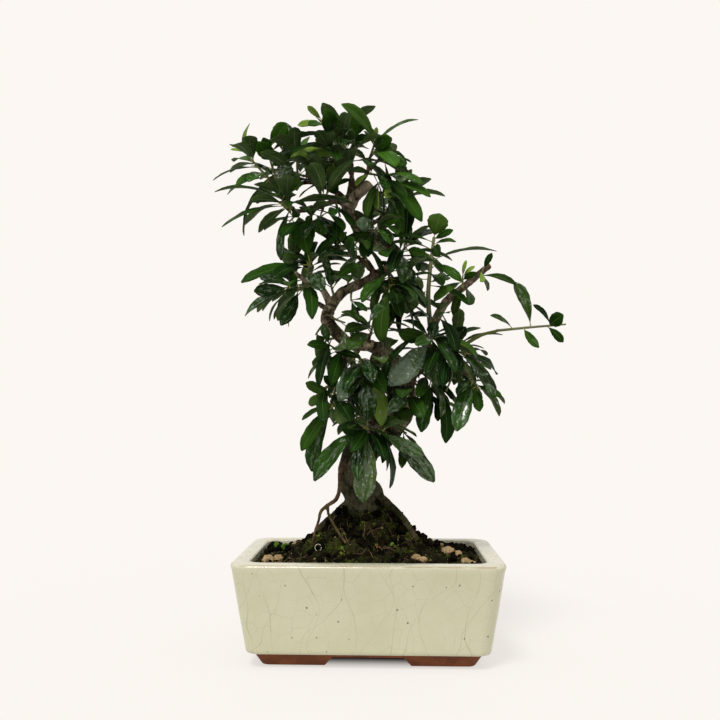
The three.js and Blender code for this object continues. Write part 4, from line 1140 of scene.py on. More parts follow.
# %% Shoots
SHOOTS = {
    "west_tip": {"line": [[-84, -4, 381], [-96, -8, 394], [-106, -10, 406]], "more": 1, "leaves": [
        [0.35, -132, -4, 381.6, 3], [0.15, -113, -22, 378, 3], [0.05, -102, -34, 381, 5],
        [0.05, -120, 8, 369.5, 3], [0.05, -107.7, -18, 335.5, -5], [0.5, -115, 20, 398, 5],
        [0.6, -102, -24, 419.7, -13], [0.8, -102, 6, 429.4, 4],
    ]},
    "west_top": {"line": [[-78, 1, 379], [-84, 3, 397], [-86, 4, 411]], "leaves": [
        [1, -71.3, -10, 429.4, 13], [0.9, -69.7, 14, 426, 6.5], [0.85, -90, -16, 416.5, 8],
        [0.5, -94, -18, 413, 13], [0.1, -65.6, -24, 390.5, 8], [0.35, -80, 30, 394, 7],
    ]},
    "north_west": {"line": [[-60, 3, 378], [-62, 6, 394], [-60, 8, 409]], "leaves": [
        [0.95, -75, -8, 413, 6], [0.9, -80, 14, 414, 3], [0.85, -80, -16, 394, 7],
    ]},
    "spray_left": {"line": [[-65, -14, 357], [-72, -17, 361], [-75, -20, 369]], "leaves": [
        [0.7, -130.4, -20, 373.5, 3.2], [0.4, -102, -40, 363, -6.5], [0.3, -124, -12, 333, 5],
        [0.1, -94.8, -34, 338, -8], [0.05, -76, -22, 314.4, 6.5], [0.05, -64, -42, 351, 4],
        [0.6, -64, -38, 369.5, -5.5], [0.4, -16, -34, 358, -6.5], [0.8, -56, -24, 379, 5],
        [1, -61, -40, 386, 10],
    ]},
    "spray_inner": {"line": [[-49, -10, 357], [-50, -18, 350], [-49, -24, 344]], "more": 2, "leaves": [
        [0.4, -52.7, -40, 342.8, 5], [0.7, -37.3, -34, 336.3, 10],
    ]},
    "crown_left": {
        "line": [[-17, 4, 393], [-28, 2, 408], [-36, -2, 419], [-41, -4, 431]], "leaves": [
            [1, -53.5, -8, 443.5, 5], [1, -61.6, -6, 427.5, 5], [0.85, -52.7, -28, 427, 3],
            [0.7, -39, -20, 440.8, 12], [0.4, -47, -14, 419, 6.5], [0.1, -67, -18, 402, 7],
            [0.3, -68, -4, 403.5, 3],
        ],
    },
    "crown_top": {"line": [[-20, 4, 404], [-24, 3, 413], [-24, 2, 422]], "more": 1, "leaves": [
        [1, -32.4, -8, 436, 7], [0.2, -13, -16, 435, 14.5], [0.4, -15.4, -24, 419.7, 5],
        [0.3, -4, -26, 418, 5], [0.2, -4, -30, 407.6, -5],
    ]},
    "crown_right": {"line": [[-1, 6, 400], [2, 5, 410], [3, 4, 416]], "leaves": [
        [0.6, -24, -4, 444.8, 10.5], [0.3, 38, 2, 431.9, 3.2], [0.1, 16.2, -20, 414.8, 13],
        [0.1, 17.8, -28, 401.9, 8], [0.05, 29, -12, 397, 10], [0.05, 19.4, -24, 387.3, 5],
    ]},
    "crown_low_right": {"line": [[-4, 4, 386], [5, -6, 384], [12, -12, 378]], "leaves": [
        [0.3, -20.3, -28, 389, -6.5], [0.4, 13, -38, 372.7, 8], [0.9, 29, -34, 365.4, 7],
        [0.6, 43, -14, 377.6, 4], [1, 48.6, -22, 366, 5], [1, 35.6, -4, 363.8, -5],
        [0.7, 41, -22, 345, 8], [0.95, -4, -32, 346, 7], [1, 13, -14, 340, 3.2],
    ]},
    "upper_left_inner": {
        "line": [[-36, 5, 373], [-37, -4, 377], [-34, -10, 384]], "leaves": [
            [0.2, -32, -26, 395, 9], [0.5, -50, -28, 392, 7], [0.8, -18, -24, 398, 6],
        ],
    },
    "left_mid_up": {
        "line": [[-53.5, -19, 296], [-52, -20, 306], [-51, -21, 313]], "leaves": [
            [1, -60.8, -26, 346, 18], [1, -73, -30, 318.5, 3], [0.95, -107.7, -26, 295.8, 7],
            [0.7, -28.4, -30, 334.7, 5], [0.4, -39.7, -42, 290, 11], [0.6, -81, -34, 299.8, 5],
            [0.5, -47, 4, 330, 9],
        ],
    },
    "left_mid_low": {"line": [[-50, -18, 294], [-60, -24, 289], [-68, -27, 291]], "more": 1, "leaves": [
        [1, -97, -32, 288.5, 10], [1, -104.5, -28, 268, 7], [0.9, -64, -44, 302, 6],
        [0.5, -74.5, -38, 260, 10.5], [0.3, -69, -30, 259, 3.2], [0.2, -54, -44, 279.6, 6.5],
        [0.8, -92, -8, 300, 7],
    ]},
    "left_inner": {"line": [[-30, -11, 281], [-33, -17, 291], [-34, -20, 300]], "more": 1, "leaves": [
        [0.95, -38.9, -36, 317.6, 6.5], [0.5, -36.5, -44, 308, 7], [0.7, -9.7, -36, 309.5, 6.5],
    ]},
    "fork": {"line": [[-10, -6, 315], [-22, -10, 319], [-34, -12, 323]], "leaves": [
        [0.3, -38, -34, 322.5, 5], [1, -26.7, -24, 355, 11], [0.9, -21, -34, 351, -5],
        [0.6, -44, 6, 340, 9], [0.2, -14, -36, 332, 8],
    ]},
    "centre_top": {"line": [[4, 6, 333], [4, -8, 337], [3, -16, 340]], "leaves": [
        [1, -12, -40, 345, 11], [1, 15.4, -46, 328, 7], [0.7, -7, -38, 316, 7], [0.5, 24, -22, 350, 6],
        [0.4, -24, -14, 332, 7],
    ]},
    "centre_right": {"line": [[20, 8, 317], [25, 0, 321], [29, -5, 325]], "more": 2, "leaves": [
        [0.3, 22, 34, 330, 5], [1, 34, 16, 344, 6], [0.3, 26, -40, 296.6, 11], [0.2, 12, -36, 304, -8],
        [0.8, 40, 26, 330, 8],
    ]},
    "centre_front": {"line": [[12, 5, 306], [14, -12, 300], [15, -22, 292]], "more": 1, "leaves": [
        [1, 7.3, -38, 246, 12], [0.9, 24, -46, 266, 10], [0.6, -8, -44, 280, 9], [0.5, 34, -40, 286, 9],
    ]},
    "middle": {"line": [[-1, -21, 252], [0, -24, 257], [1, -26, 263]], "leaves": [
        [0.6, -24, -40, 271.5, 5.5], [0.5, -22, -50, 255, 5.5], [0.3, -20, -46, 248, 10.5],
        [0.5, 10.5, -52, 257.7, 4], [0.9, 5.7, -40, 290, 7],
    ]},
    "bend_front": {"line": [[-16, -7, 291], [-17, -14, 285], [-17, -18, 280]], "leaves": [
        [1, -4, -36, 271.5, 4], [1, -10.5, -38, 262, 5.5],
    ]},
    "upright": {
        "line": [[47.8, -4, 254], [46, -8, 282], [47.8, -8, 306], [51, -6, 332]], "more": 1, "leaves": [
            [1, 56, -14, 351.7, 17], [1, 66.4, -22, 338, 5.5], [0.95, 69, -2, 329, 3],
            [0.9, 56, -32, 316, 9], [1, 9, 10, 346, 5], [0.75, 102, -8, 320, 3.2],
            [0.72, 73, -28, 295.8, 7], [0.6, 58, -38, 293, 4], [0.48, 78.6, -22, 278, 4],
            [0.88, 7, -24, 322, -3.2], [0.55, 0.8, -34, 288.5, 7], [0.42, 22, -34, 274, -16],
            [0.8, 30, 14, 322, 8], [0.5, 62, 20, 300, 8], [0.35, 30, 18, 290, 8],
        ],
    },
    "sawn_end": {"line": [[84, 1, 298], [88, -6, 301], [91, -10, 306]], "leaves": [
        [0.4, 117.5, -18, 293, 4], [1, 98, -14, 318.5, 5], [0.5, 94.8, -24, 288.5, 3],
    ]},
    "sawn_middle": {"line": [[72, 0, 289], [74, -8, 293], [74, -12, 299]], "leaves": [
        [0.8, 85, -26, 303, 5], [0.7, 51, -30, 275.5, 7], [0.6, 66, -32, 268, 7],
        [0.4, 78, -34, 276, 4],
    ]},
    "far_right": {
        "line": [[101, -3, 255], [129, -6, 257.7], [146, -8, 259], [157, -8, 260]], "leaves": [
            [0.33, 116.6, -12, 295, 8], [0.15, 96.4, -18, 267.5, 3.2], [0.64, 131, -18, 276, 3.2],
            [0.64, 154.7, -20, 267.5, 11], [0.58, 154.7, -22, 249.6, 6.5], [0.25, 135, -20, 241.5, 6.5],
        ],
    },
    "low_right_front": {"line": [[47, -4, 252], [48, -14, 250], [47, -22, 247]], "leaves": [
        [1, 13.8, -44, 210.7, 18], [0.8, 53.5, -38, 210.7, 14], [0.7, 37, -46, 244.7, 9],
        [0.6, 71, -34, 239, 7], [0.4, 86.7, -14, 235.8, 7], [0.5, 22, -34, 253, 12],
    ]},
    "low_right_mid": {"line": [[64, -6, 241], [70, -12, 238], [76, -14, 237]], "more": 1, "leaves": [
        [0.3, 61.6, -34, 222, -10], [0.7, 72, -30, 221, 7], [1, 102, -18, 224.5, 7],
        [0.9, 80, -32, 247, 3], [1, 83.4, -34, 226, 3], [1, 90, 12, 226, 7],
    ]},
    "low_right_far": {"line": [[76, -16, 220], [82, -20, 214], [85, -22, 208]], "more": 1, "leaves": [
        [0.7, 105, -24, 201.8, 5.5], [1, 86.7, -34, 189.7, 8], [0.5, 68, -36, 173.5, 14],
        [0.3, 69, -44, 202.6, 7], [0.2, 86, 6, 196, 8],
    ]},
    "low_right_inner": {"line": [[36, -2, 225], [44, -8, 218], [52, -12, 212]], "more": 1, "leaves": [
        [1, 60.8, -22, 164.6, 9], [0.95, 56, -34, 185.6, 5], [1, 66.4, -36, 199.4, 4],
        [0.8, 39.7, -26, 172.7, 12], [0.6, 37, -36, 201.8, 9], [0.5, 43, -38, 210, 9],
    ]},
    "trunk_right": {"line": [[27, 1, 208], [29, -10, 206], [30, -16, 203]], "leaves": [
        [1, 41, -34, 184.8, 12], [0.9, 13.8, -38, 190.5, 10.5], [0.5, 24, -40, 216, 9],
    ]},
    "left_low": {"line": [[-22, -17, 241], [-28, -22, 240], [-35, -26, 244]], "leaves": [
        [1, -40.5, -38, 261, 6.5], [1, -52.7, -44, 244, 7], [0.4, -52, -34, 216.4, 3.2],
        [0.3, -33, -34, 210.7, 10.5], [0.1, -21, -42, 233, 4], [0.8, -48, -4, 226, 8],
    ]},
    "left_low_tip": {"line": [[-29, -23, 210], [-31, -27, 202], [-30, -30, 194]], "leaves": [
        [0.1, -39, -40, 227, 7], [0.5, -54, -42, 213, 8], [0.6, -19.4, -44, 183, -16],
        [1, -56.7, -44, 182.4, 3.2], [1, -57.5, -36, 158, 11], [1, -49.4, -30, 137, 11],
        [0.3, -52, -6, 196, 8],
    ]},
    "low_middle": {"line": [[1, -21, 228], [-5, -26, 232], [-10, -30, 231]], "leaves": [
        [1, -26.7, -46, 198.6, 14], [0.9, -15, -38, 208, 11], [0.7, 0, -44, 208, 9],
        [0.4, 10.5, -44, 205, 11], [0.3, 8, -50, 178, 12], [0.8, -30, -34, 238, 6],
    ]},
    "low_front": {"line": [[-2, -22, 179], [-4, -30, 178], [-5, -36, 175]], "leaves": [
        [0.8, -4, -48, 210.7, 14.5], [1, -25, -50, 176.7, 11], [1, -7.3, -52, 116.8, 17],
        [0.9, -47, -46, 133.8, 12], [1, -16.2, -58, 158, 10],
    ]},
    "low_front_right": {"line": [[2, -14, 180], [6, -24, 176], [8, -32, 173]], "leaves": [
        [1, 42, -48, 154.8, 10.5], [1, 50, -46, 133, 13], [0.6, 8.9, -50, 152.4, 5],
        [0.5, 12, -34, 142, 5], [0.4, 14.6, -22, 137, 5.5], [0.4, 19.4, -40, 184.8, 8],
    ]},
    "back_low": {"line": [[4, 37, 213], [-4, 50, 216], [-12, 60, 216]], "more": 7},
    "back_right": {"line": [[54, 34, 234], [64, 44, 240], [70, 52, 244]], "more": 7},
    "back_middle": {"line": [[-3, 32, 312], [-8, 44, 320], [-14, 56, 326]], "more": 7},
    "back_left": {"line": [[-53, 22, 287], [-62, 32, 292], [-68, 42, 294]], "more": 7},
    "back_upper": {"line": [[14, 30, 354], [20, 42, 360], [24, 50, 366]], "more": 7},
    "crown_back": {"line": [[-21, 40, 399], [-24, 50, 405], [-26, 58, 409]], "more": 7},
    "crown_back_left": {"line": [[-56, 36, 384], [-66, 46, 388], [-72, 54, 390]], "more": 7, "leaves": [
    ]},
    "back_foot": {"line": [[3, 35, 186], [-4, 46, 190], [-10, 54, 192]], "more": 6},
}
placed = sum(len(shoot.get("leaves", [])) for shoot in SHOOTS.values())
print(len(SHOOTS), "shoots,", placed, "placed leaves")

# %% [markdown]
# Leaves make room for each other. Space is cut into small cubes, each with at most one owner, and
# a leaf swings nearer or farther, up or down, until it crowds no cube of another owner. A physics
# run could push leaves apart as well, but would be slow and hard to repeat.

# %% Room for leaves
LEAF = {"longest": 58, "narrowest": 0.26, "step": 2, "arch": 0.09, "fold": 0.22, "stalk": 0.12}
STEM = (1.15, 0.65)
CUBE = 3
SPIRAL = 2.4
DEPTHS = (0, -6, 6, -12, 12, -18, 18, -25, 25, -32, 32)
RISES = (0, 4, -4, 8, -8, 14, -14)
RISE_COST = 5
SWINGS = [(depth, rise) for rise in RISES for depth in DEPTHS]
SWINGS.sort(key=lambda swing: math.hypot(swing[0], RISE_COST * swing[1]))
CLEAR = 1.2
CORNERS = (2 * np.array([[i & 1, (i >> 1) & 1, i >> 2] for i in range(8)]) - 1) * CLEAR
SPACE_START = np.array([-100, -60, 0])
WOOD = 1
space = np.zeros((200, 130, 200), dtype=np.int16)


class Draws:
    """The seeded draws of the solids: a small congruential generator."""

    def __init__(self, seed):
        self.state = seed

    def between(self, low, high):
        self.state = (self.state * 1664525 + 1013904223) % 2**32
        return low + (high - low) * self.state / 2**32


def owner_of(number):
    """The mark of a shoot in the cubes: the wood's is 1 and the shoots' follow."""
    return WOOD + 1 + number


def cubes_at(points):
    index = np.floor(points / CUBE).astype(int) - SPACE_START
    return tuple(index.reshape(-1, 3).T)


def claim(points, owner):
    cubes = cubes_at(points)
    free = space[cubes] == 0
    space[tuple(axis[free] for axis in cubes)] = owner


def claim_line(points, owner):
    line = Line([point[:3] for point in points])
    steps = line.last * 12
    for i in range(steps + 1):
        whole = min(i * line.last // steps, line.last - 1)
        radius = points[whole][3] if len(points[whole]) > 3 else STEM[0]
        reach = math.ceil(radius / CUBE)
        span = np.arange(-reach, reach + 1)
        around = np.stack(np.meshgrid(span, span, span, indexing="ij"), -1).reshape(-1, 3) * CUBE
        around = around[np.linalg.norm(around, axis=1) <= radius + 1]
        claim(line.at(i / steps) + around, owner)


def blade_frame(foot, tip, facing, width):
    along = tip - foot
    length = np.linalg.norm(along)
    along = along / length
    normal = unit(facing - facing.dot(along) * along)
    return {
        "foot": foot, "along": along, "normal": normal, "side": np.cross(along, normal),
        "length": length, "width": width,
    }


def on_blade(blade, t, across):
    """Points of the solid's plain blade, at shares t of its length and across of its half width."""
    share = np.interp(t, (0, 0.38, 0.74, 1), (0, 0.8, 0.95, 0))
    out = across * share * blade["width"] / 2
    rise = LEAF["arch"] * blade["length"] * 4 * t * (1 - t) + LEAF["fold"] * np.abs(out)
    return (
        blade["foot"] + np.multiply.outer(t * blade["length"], blade["along"])
        + np.multiply.outer(rise, blade["normal"]) + np.multiply.outer(out, blade["side"])
    )


def blade_grid(blade, rows, columns):
    """Places on a blade: shares of its length, past the stalk, and of its half width."""
    along = LEAF["stalk"] + (1 - LEAF["stalk"]) * np.arange(rows + 1) / rows
    t, across = np.meshgrid(along, np.arange(-columns, columns + 1) / columns)
    return t.ravel(), across.ravel()


def crowding(blade, owner):
    rows, columns = math.ceil(blade["length"] / CUBE), math.ceil(blade["width"] / CUBE / 2)
    t, across = blade_grid(blade, rows, columns)
    points = on_blade(blade, t, across)
    found = space[cubes_at(points[:, None, :] + CORNERS[None])].reshape(-1, 8)
    others = (found != 0) & (found != owner)
    own = (found == owner) & (t > 0.4)[:, None]
    return 10 * int(others.sum()) + int(own.sum())


def shown_facing(foot, tip, shown):
    """Turns a leaf from full face until it looks as wide as the eye saw it."""
    along = tip - foot
    length = np.linalg.norm(along)
    along = along / length
    to_eye = EYE - foot
    full = unit(to_eye - to_eye.dot(along) * along)
    edge = np.cross(along, full)
    edge = -edge if edge[2] < 0 else edge
    width = max(abs(shown), LEAF["narrowest"] * length)
    share = min(1, abs(shown) / width)
    return full * math.copysign(share, shown) + edge * math.sqrt(1 - share * share), width


def more_leaves(line, count, draws, size=1):
    leaves = []
    for i in range(count):
        t = (i + 0.8) / (count + 0.3)
        stem = line.along(t)
        across = unit(np.cross((0, 0, 1), stem))
        up = np.cross(stem, across)
        turn = i * SPIRAL + draws.between(-0.4, 0.4)
        leaning = draws.between(0.35, 0.75)
        out = across * math.cos(turn) + up * math.sin(turn)
        aim = unit(out + stem * leaning + np.array([0, 0, -0.15]))
        length = draws.between(32, 46) * (0.75 if t > 0.8 else 1) * size
        width = length * draws.between(0.28, 0.36)
        facing = np.array([0, 0, 0.9]) + out * 0.35 + stem * 0.3
        leaves.append({"t": t, "tip": line.at(t)[0] + aim * length, "facing": facing, "width": width})
    return leaves


def space_out(leaves, line):
    """Keeps the leaves' feet at least a step apart along the stem."""
    step = min(LEAF["step"] / line.length(), 0.96 / len(leaves))
    order = sorted(leaves, key=lambda leaf: -leaf["t"])
    free = 1.0
    for leaf in order:
        leaf["t"] = min(leaf["t"], free)
        free = leaf["t"] - step
    lift = max(0.0, 0.03 - order[-1]["t"])
    for leaf in order:
        leaf["t"] += lift * (1 - leaf["t"])
        leaf["foot"] = line.at(leaf["t"])[0]


def grow(shoot, owner, seed, size=1, fits=None):
    """Grows a shoot's leaves, without those that don't fit."""
    line = Line(shoot["line"])
    placed = shoot.get("leaves", [])
    wanted = [{"t": t, "tip": place((x, y, z)), "shown": shown} for t, x, y, z, shown in placed]
    wanted += more_leaves(line, shoot.get("more", 0), Draws(seed), size)
    space_out(wanted, line)
    blades = []
    for leaf in wanted:
        best, least = None, None
        for depth, rise in SWINGS:
            reach = (leaf["tip"][1] + depth - EYE[1]) / (leaf["tip"][1] - EYE[1])
            tip = (leaf["tip"] - EYE) * reach + EYE + np.array([0, 0, rise])
            if depth and np.linalg.norm(tip - leaf["foot"]) > LEAF["longest"]:
                continue
            if "facing" in leaf:
                facing, width = leaf["facing"], leaf["width"]
            else:
                facing, width = shown_facing(leaf["foot"], tip, leaf["shown"])
            blade = blade_frame(leaf["foot"], tip, facing, width)
            crowd = crowding(blade, owner)
            if least is None or crowd < least:
                best, least = blade, crowd
            if crowd == 0:
                break
        if fits and not fits(best, least):
            continue
        rows, columns = math.ceil(best["length"] / 2), math.ceil(best["width"] / 4)
        claim(on_blade(best, *blade_grid(best, rows, columns)), owner)
        blades.append(best)
    return blades


def grow_all():
    claim_line(TRUNK, WOOD)
    for points in BRANCHES.values():
        claim_line(points, WOOD)
    for number, shoot in enumerate(SHOOTS.values()):
        claim_line(shoot["line"], owner_of(number))
    return {
        name: grow(shoot, owner_of(number), number + 1)
        for number, (name, shoot) in enumerate(SHOOTS.items())
    }


blades = grow_all()
print("leaves", sum(len(row) for row in blades.values()))

# %% [markdown]
# The tree is fuller than its solids, which stay within a count of faces. Once every solid's leaf
# has its place, smaller side twigs start from the wood, and each stem tries to bear a few more
# leaves. Those that find no room are left out, as a plant drops the leaves that it shades, and so
# are those that would show outside the crown's outline or hide the bare wood of the bend and stub.

# %% Fuller shoots
FILL = {"stem": 9, "twig": 9, "room": 26, "size": 0.86, "within": 0.86}
LEFT_ALONE = ("far_right", "sawn_end", "upright", "west_tip")
CROWN = np.array([
    (-111, 412), (-106, 429), (-93, 421), (-82, 431), (-64, 429), (-60, 417), (-57, 429), (-61, 438),
    (-48, 441), (-33, 446), (-21, 446), (-7, 439), (1, 425), (11, 417), (22, 416), (27, 405), (33, 395),
    (35, 382), (49, 369), (54, 363), (45, 358), (46, 342), (49, 353), (61, 354), (64, 342), (70, 331),
    (62, 313), (77, 293), (74, 282), (66, 267), (77, 258), (90, 248), (104, 224), (93, 220), (108, 199),
    (92, 188), (83, 203), (74, 169), (62, 162), (53, 169), (43, 170), (33, 198), (27, 185), (36, 170),
    (53, 135), (43, 133), (19, 144), (15, 135), (6, 148), (2, 120), (-7, 115), (-15, 148), (-20, 159),
    (-45, 133), (-49, 144), (-58, 156), (-58, 182), (-48, 195), (-58, 207), (-54, 217), (-41, 220),
    (-53, 237), (-51, 253), (-41, 258), (-53, 267), (-51, 284), (-70, 258), (-77, 261), (-103, 266),
    (-106, 282), (-109, 293), (-88, 313), (-70, 321), (-80, 334), (-88, 339), (-98, 342), (-117, 339),
    (-127, 332), (-124, 345), (-109, 358), (-134, 373), (-119, 379), (-134, 381), (-127, 389),
    (-116, 397),
])
BARE = [(point, 8) for point in TRUNK[14:21]]
BARE += [(point, 9) for point in ([-16, -3, 362], [-9, -6, 370.5], [-2, -9, 377])]
TWIGS = {
    "upper_left_inner": [
        [[-30, 2, 371], [-32, -8, 380], [-34, -14, 388]],
        [[-49, 4, 379], [-48, -8, 388], [-45, -16, 394]],
    ],
    "crown_top": [
        [[-17, 4, 395], [-14, -8, 402], [-12, -16, 408]],
        [[-20, 4, 402], [-28, -10, 406], [-34, -16, 412]],
    ],
    "crown_right": [
        [[-3, 5, 392], [6, -4, 396], [12, -10, 398]], [[-1, 6, 400], [8, 8, 410], [14, 8, 416]],
    ],
    "crown_left": [
        [[-17, 3, 388], [-28, -6, 396], [-36, -12, 400]],
        [[-19, 4, 399], [-30, 14, 408], [-38, 18, 414]],
    ],
    "crown_low_right": [[[-8, 3, 380], [2, -12, 372], [8, -20, 368]]],
    "spray_inner": [
        [[-40, -7, 360], [-40, -18, 364], [-38, -26, 368]],
        [[-30, -4, 363], [-28, -16, 356], [-26, -24, 350]],
    ],
    "spray_left": [[[-56, -12, 356], [-62, -2, 352], [-68, 6, 346]]],
    "centre_top": [
        [[-4, 4, 338], [-10, -10, 332], [-14, -18, 326]],
        [[-12, 3, 344], [-2, -12, 352], [4, -18, 356]],
    ],
    "centre_right": [
        [[20, 8, 314], [30, 10, 308], [38, 12, 300]], [[16, 7, 309], [24, -10, 304], [30, -18, 298]],
    ],
    "centre_front": [
        [[4, 1, 301], [12, -14, 288], [18, -24, 280]], [[12, 5, 306], [24, 0, 290], [32, -4, 280]],
    ],
    "bend_front": [
        [[-23, -9, 288], [-16, -20, 294], [-12, -26, 298]],
        [[-36, -14, 264], [-42, -20, 258], [-46, -24, 252]],
    ],
    "left_inner": [[[-36, -14, 268], [-28, -22, 264], [-22, -28, 262]]],
    "middle": [
        [[4, -11, 240], [10, -20, 238], [14, -28, 236]],
        [[-12, -15, 243], [-14, -24, 238], [-14, -30, 232]],
    ],
    "left_low": [
        [[-26, -16, 250], [-36, -18, 248], [-42, -18, 242]],
        [[-20, -15, 245], [-18, -6, 232], [-16, 0, 222]],
    ],
    "left_low_tip": [
        [[-24, -20, 226], [-22, -26, 214], [-18, -30, 204]],
        [[-28, -22, 213], [-40, -20, 208], [-46, -18, 202]],
    ],
    "low_middle": [
        [[8, -14, 233], [8, -24, 222], [6, -30, 214]], [[5, -18, 230], [-6, -26, 218], [-12, -30, 210]],
    ],
    "trunk_right": [
        [[24, 4, 200], [22, -12, 190], [20, -22, 184]], [[24, 1, 214], [34, -14, 222], [38, -22, 226]],
    ],
    "low_right_inner": [
        [[36, -2, 226], [44, -12, 230], [50, -18, 228]], [[30, 0, 215], [44, 4, 206], [54, 6, 196]],
    ],
    "low_right_front": [
        [[43, -4, 241], [34, -16, 240], [28, -24, 236]],
        [[48, -4, 250], [58, -16, 244], [64, -22, 238]],
    ],
    "low_right_mid": [[[56, -6, 240], [62, 4, 230], [70, 8, 222]]],
    "low_right_far": [
        [[66, -13, 228], [64, -20, 216], [60, -26, 206]],
        [[74, -16, 222], [82, -8, 214], [88, -4, 204]],
    ],
    "sawn_middle": [[[58, -3, 275], [54, -12, 268], [50, -20, 262]]],
    "low_front": [[[2, -14, 180], [-10, -20, 184], [-18, -26, 188]]],
    "low_front_right": [[[8, 0, 178], [20, -10, 176], [28, -16, 172]]],
}


def as_seen(points):
    """Where the eye sees points on the upright plane through the tree's zero, and their depth."""
    reach = (points[:, 1] - EYE[1]) / (ZERO[1] - EYE[1])
    seen = (points - EYE) / reach[:, None] + EYE - ZERO
    return seen[:, ::2], points[:, 1]


def inside(outline, spots):
    """Says for each spot whether an outline goes round it."""
    x, z = spots[:, :1], spots[:, 1:]
    x0, z0 = outline.T
    x1, z1 = np.roll(outline, -1, axis=0).T
    crosses = (z0 > z) != (z1 > z)
    with np.errstate(divide="ignore", invalid="ignore"):
        crosses &= x < x0 + (z - z0) * (x1 - x0) / (z1 - z0)
    return crosses.sum(axis=1) % 2 == 1


def fits(blade, crowd):
    """Says whether a further leaf has room, stays inside the crown and leaves bare wood in sight."""
    spots, depth = as_seen(on_blade(blade, *blade_grid(blade, 8, 1)))
    if crowd > FILL["room"] or inside(CROWN, spots).mean() < FILL["within"]:
        return False
    if np.abs(depth + POT_MIDDLE[1] / MM).max() > solid_box[1][1] / MM:
        return False
    for (x, y, z, *_), radius in BARE:
        if (np.hypot(spots[:, 0] - x, spots[:, 1] - z)[depth < y + 4] < radius).any():
            return False
    return True


def fill_in():
    for number, (name, shoot) in enumerate(SHOOTS.items()):
        owner = owner_of(number)
        if name in LEFT_ALONE:
            continue
        for i, line in enumerate([shoot["line"], *TWIGS.get(name, [])]):
            claim_line(line, owner)
            wanted = {"line": line, "more": FILL["twig"] if i else FILL["stem"]}
            inner = grow(wanted, owner, 70 + 5 * number + i, FILL["size"], fits)
            blades[name] += [{**blade, "inner": True} for blade in inner]


fill_in()
print("leaves, filled in", sum(len(row) for row in blades.values()))

# %% [markdown]
# ## A leaf
# A firethorn leaf is a narrow spoon: a thin stalk, a wedge that broadens past the middle and a
# blunt round tip with fine teeth, folded along its midrib, arched and a little twisted. Each is a
# small grid laid along the solid's blade, so it has few faces. Cards with a picture of a leaf on
# them are lighter still, but need an image and look flat from the side.

# %% Leaf shape
OUTLINE = np.array([
    (0.09, 0.03), (0.16, 0.15), (0.26, 0.42), (0.38, 0.72), (0.5, 0.9), (0.62, 1.0), (0.74, 1.0),
    (0.84, 0.9), (0.92, 0.68), (0.97, 0.42), (1.0, 0.12),
])
ROWS, COLUMNS = 10, 4
STALK = (0.62, 0.48, 0.3)


def leaf_points(blade, u, v, draws):
    """Where the points of a leaf's grid go: u from -1 to 1 across, v from 0 to 1 along."""
    t = OUTLINE[0, 0] + (1 - OUTLINE[0, 0]) * v
    share = np.interp(t, OUTLINE[:, 0], OUTLINE[:, 1])
    half = blade["width"] / 2
    teeth = 1 + 0.035 * np.cos(math.pi * v * ROWS) * (np.abs(u) > 0.9) * (t > 0.45)
    out = u * share * half * teeth
    fold = LEAF["fold"] * draws.uniform(0.5, 1.4)
    swing = 2 * math.pi * t * draws.uniform(1.2, 2.4) + draws.uniform(0, 6.3) + u
    wave = 0.07 * half * np.sin(swing) * u * u
    rise = LEAF["arch"] * blade["length"] * 4 * t * (1 - t) + fold * np.abs(out) + wave * share
    rise -= 0.05 * draws.uniform(-0.3, 1) * blade["length"] * t**4
    sway = 0.03 * draws.uniform(-1, 1) * blade["length"] * np.sin(math.pi * t)
    twist = draws.uniform(-0.35, 0.35) * t
    normal = rise + out * np.sin(twist)
    side = out * np.cos(twist) + sway
    return (
        blade["foot"] + np.multiply.outer(t * blade["length"], blade["along"])
        + np.multiply.outer(normal, blade["normal"]) + np.multiply.outer(side, blade["side"])
    )


def add_leaf(bm, blade, draws, marks, layers):
    made = bmesh.ops.create_grid(bm, x_segments=COLUMNS, y_segments=ROWS, size=1, calc_uvs=True)
    made = made["verts"]
    grid = np.array([vert.co[:2] for vert in made])
    points = in_frame(leaf_points(blade, grid[:, 0], (grid[:, 1] + 1) / 2, draws))
    for vert, point in zip(made, points):
        vert.co = point
        for key, value in marks.items():
            vert[layers[key]] = value
    faces = {face for vert in made for face in vert.link_faces}
    first = next(iter(faces))
    first.normal_update()
    if first.normal.dot(Vector(blade["normal"])) < 0:
        bmesh.ops.reverse_faces(bm, faces=list(faces))
    return faces


def add_stalk(bm, blade):
    arch = LEAF["arch"] * blade["length"] * 4
    centres = []
    for t in (0.0, 0.05, LEAF["stalk"] + 0.03):
        out = blade["along"] * blade["length"] * t
        centres.append(blade["foot"] + out + blade["normal"] * (arch * t * (1 - t) - 0.1))
    tube(bm, centres, STALK, 5)


# %% [markdown]
# ## Leaf finish
# The upper side is dark, glossy and lightly quilted by its veins, with a paler midrib; the
# underside is matt and a paler green, and young leaves are lime. The veins are drawn on the leaf's
# own UV map, so they follow it as it bends. After watering, patches of the upper side are wet:
# there the gloss is sharp, and a pale grey-green gleam and white glints of drops are painted into
# the colour, as painted reflection and painted highlights. The wettest leaves get a silvery sheen
# painted in as well, a painted reflection. One group draws the veins for both sides.

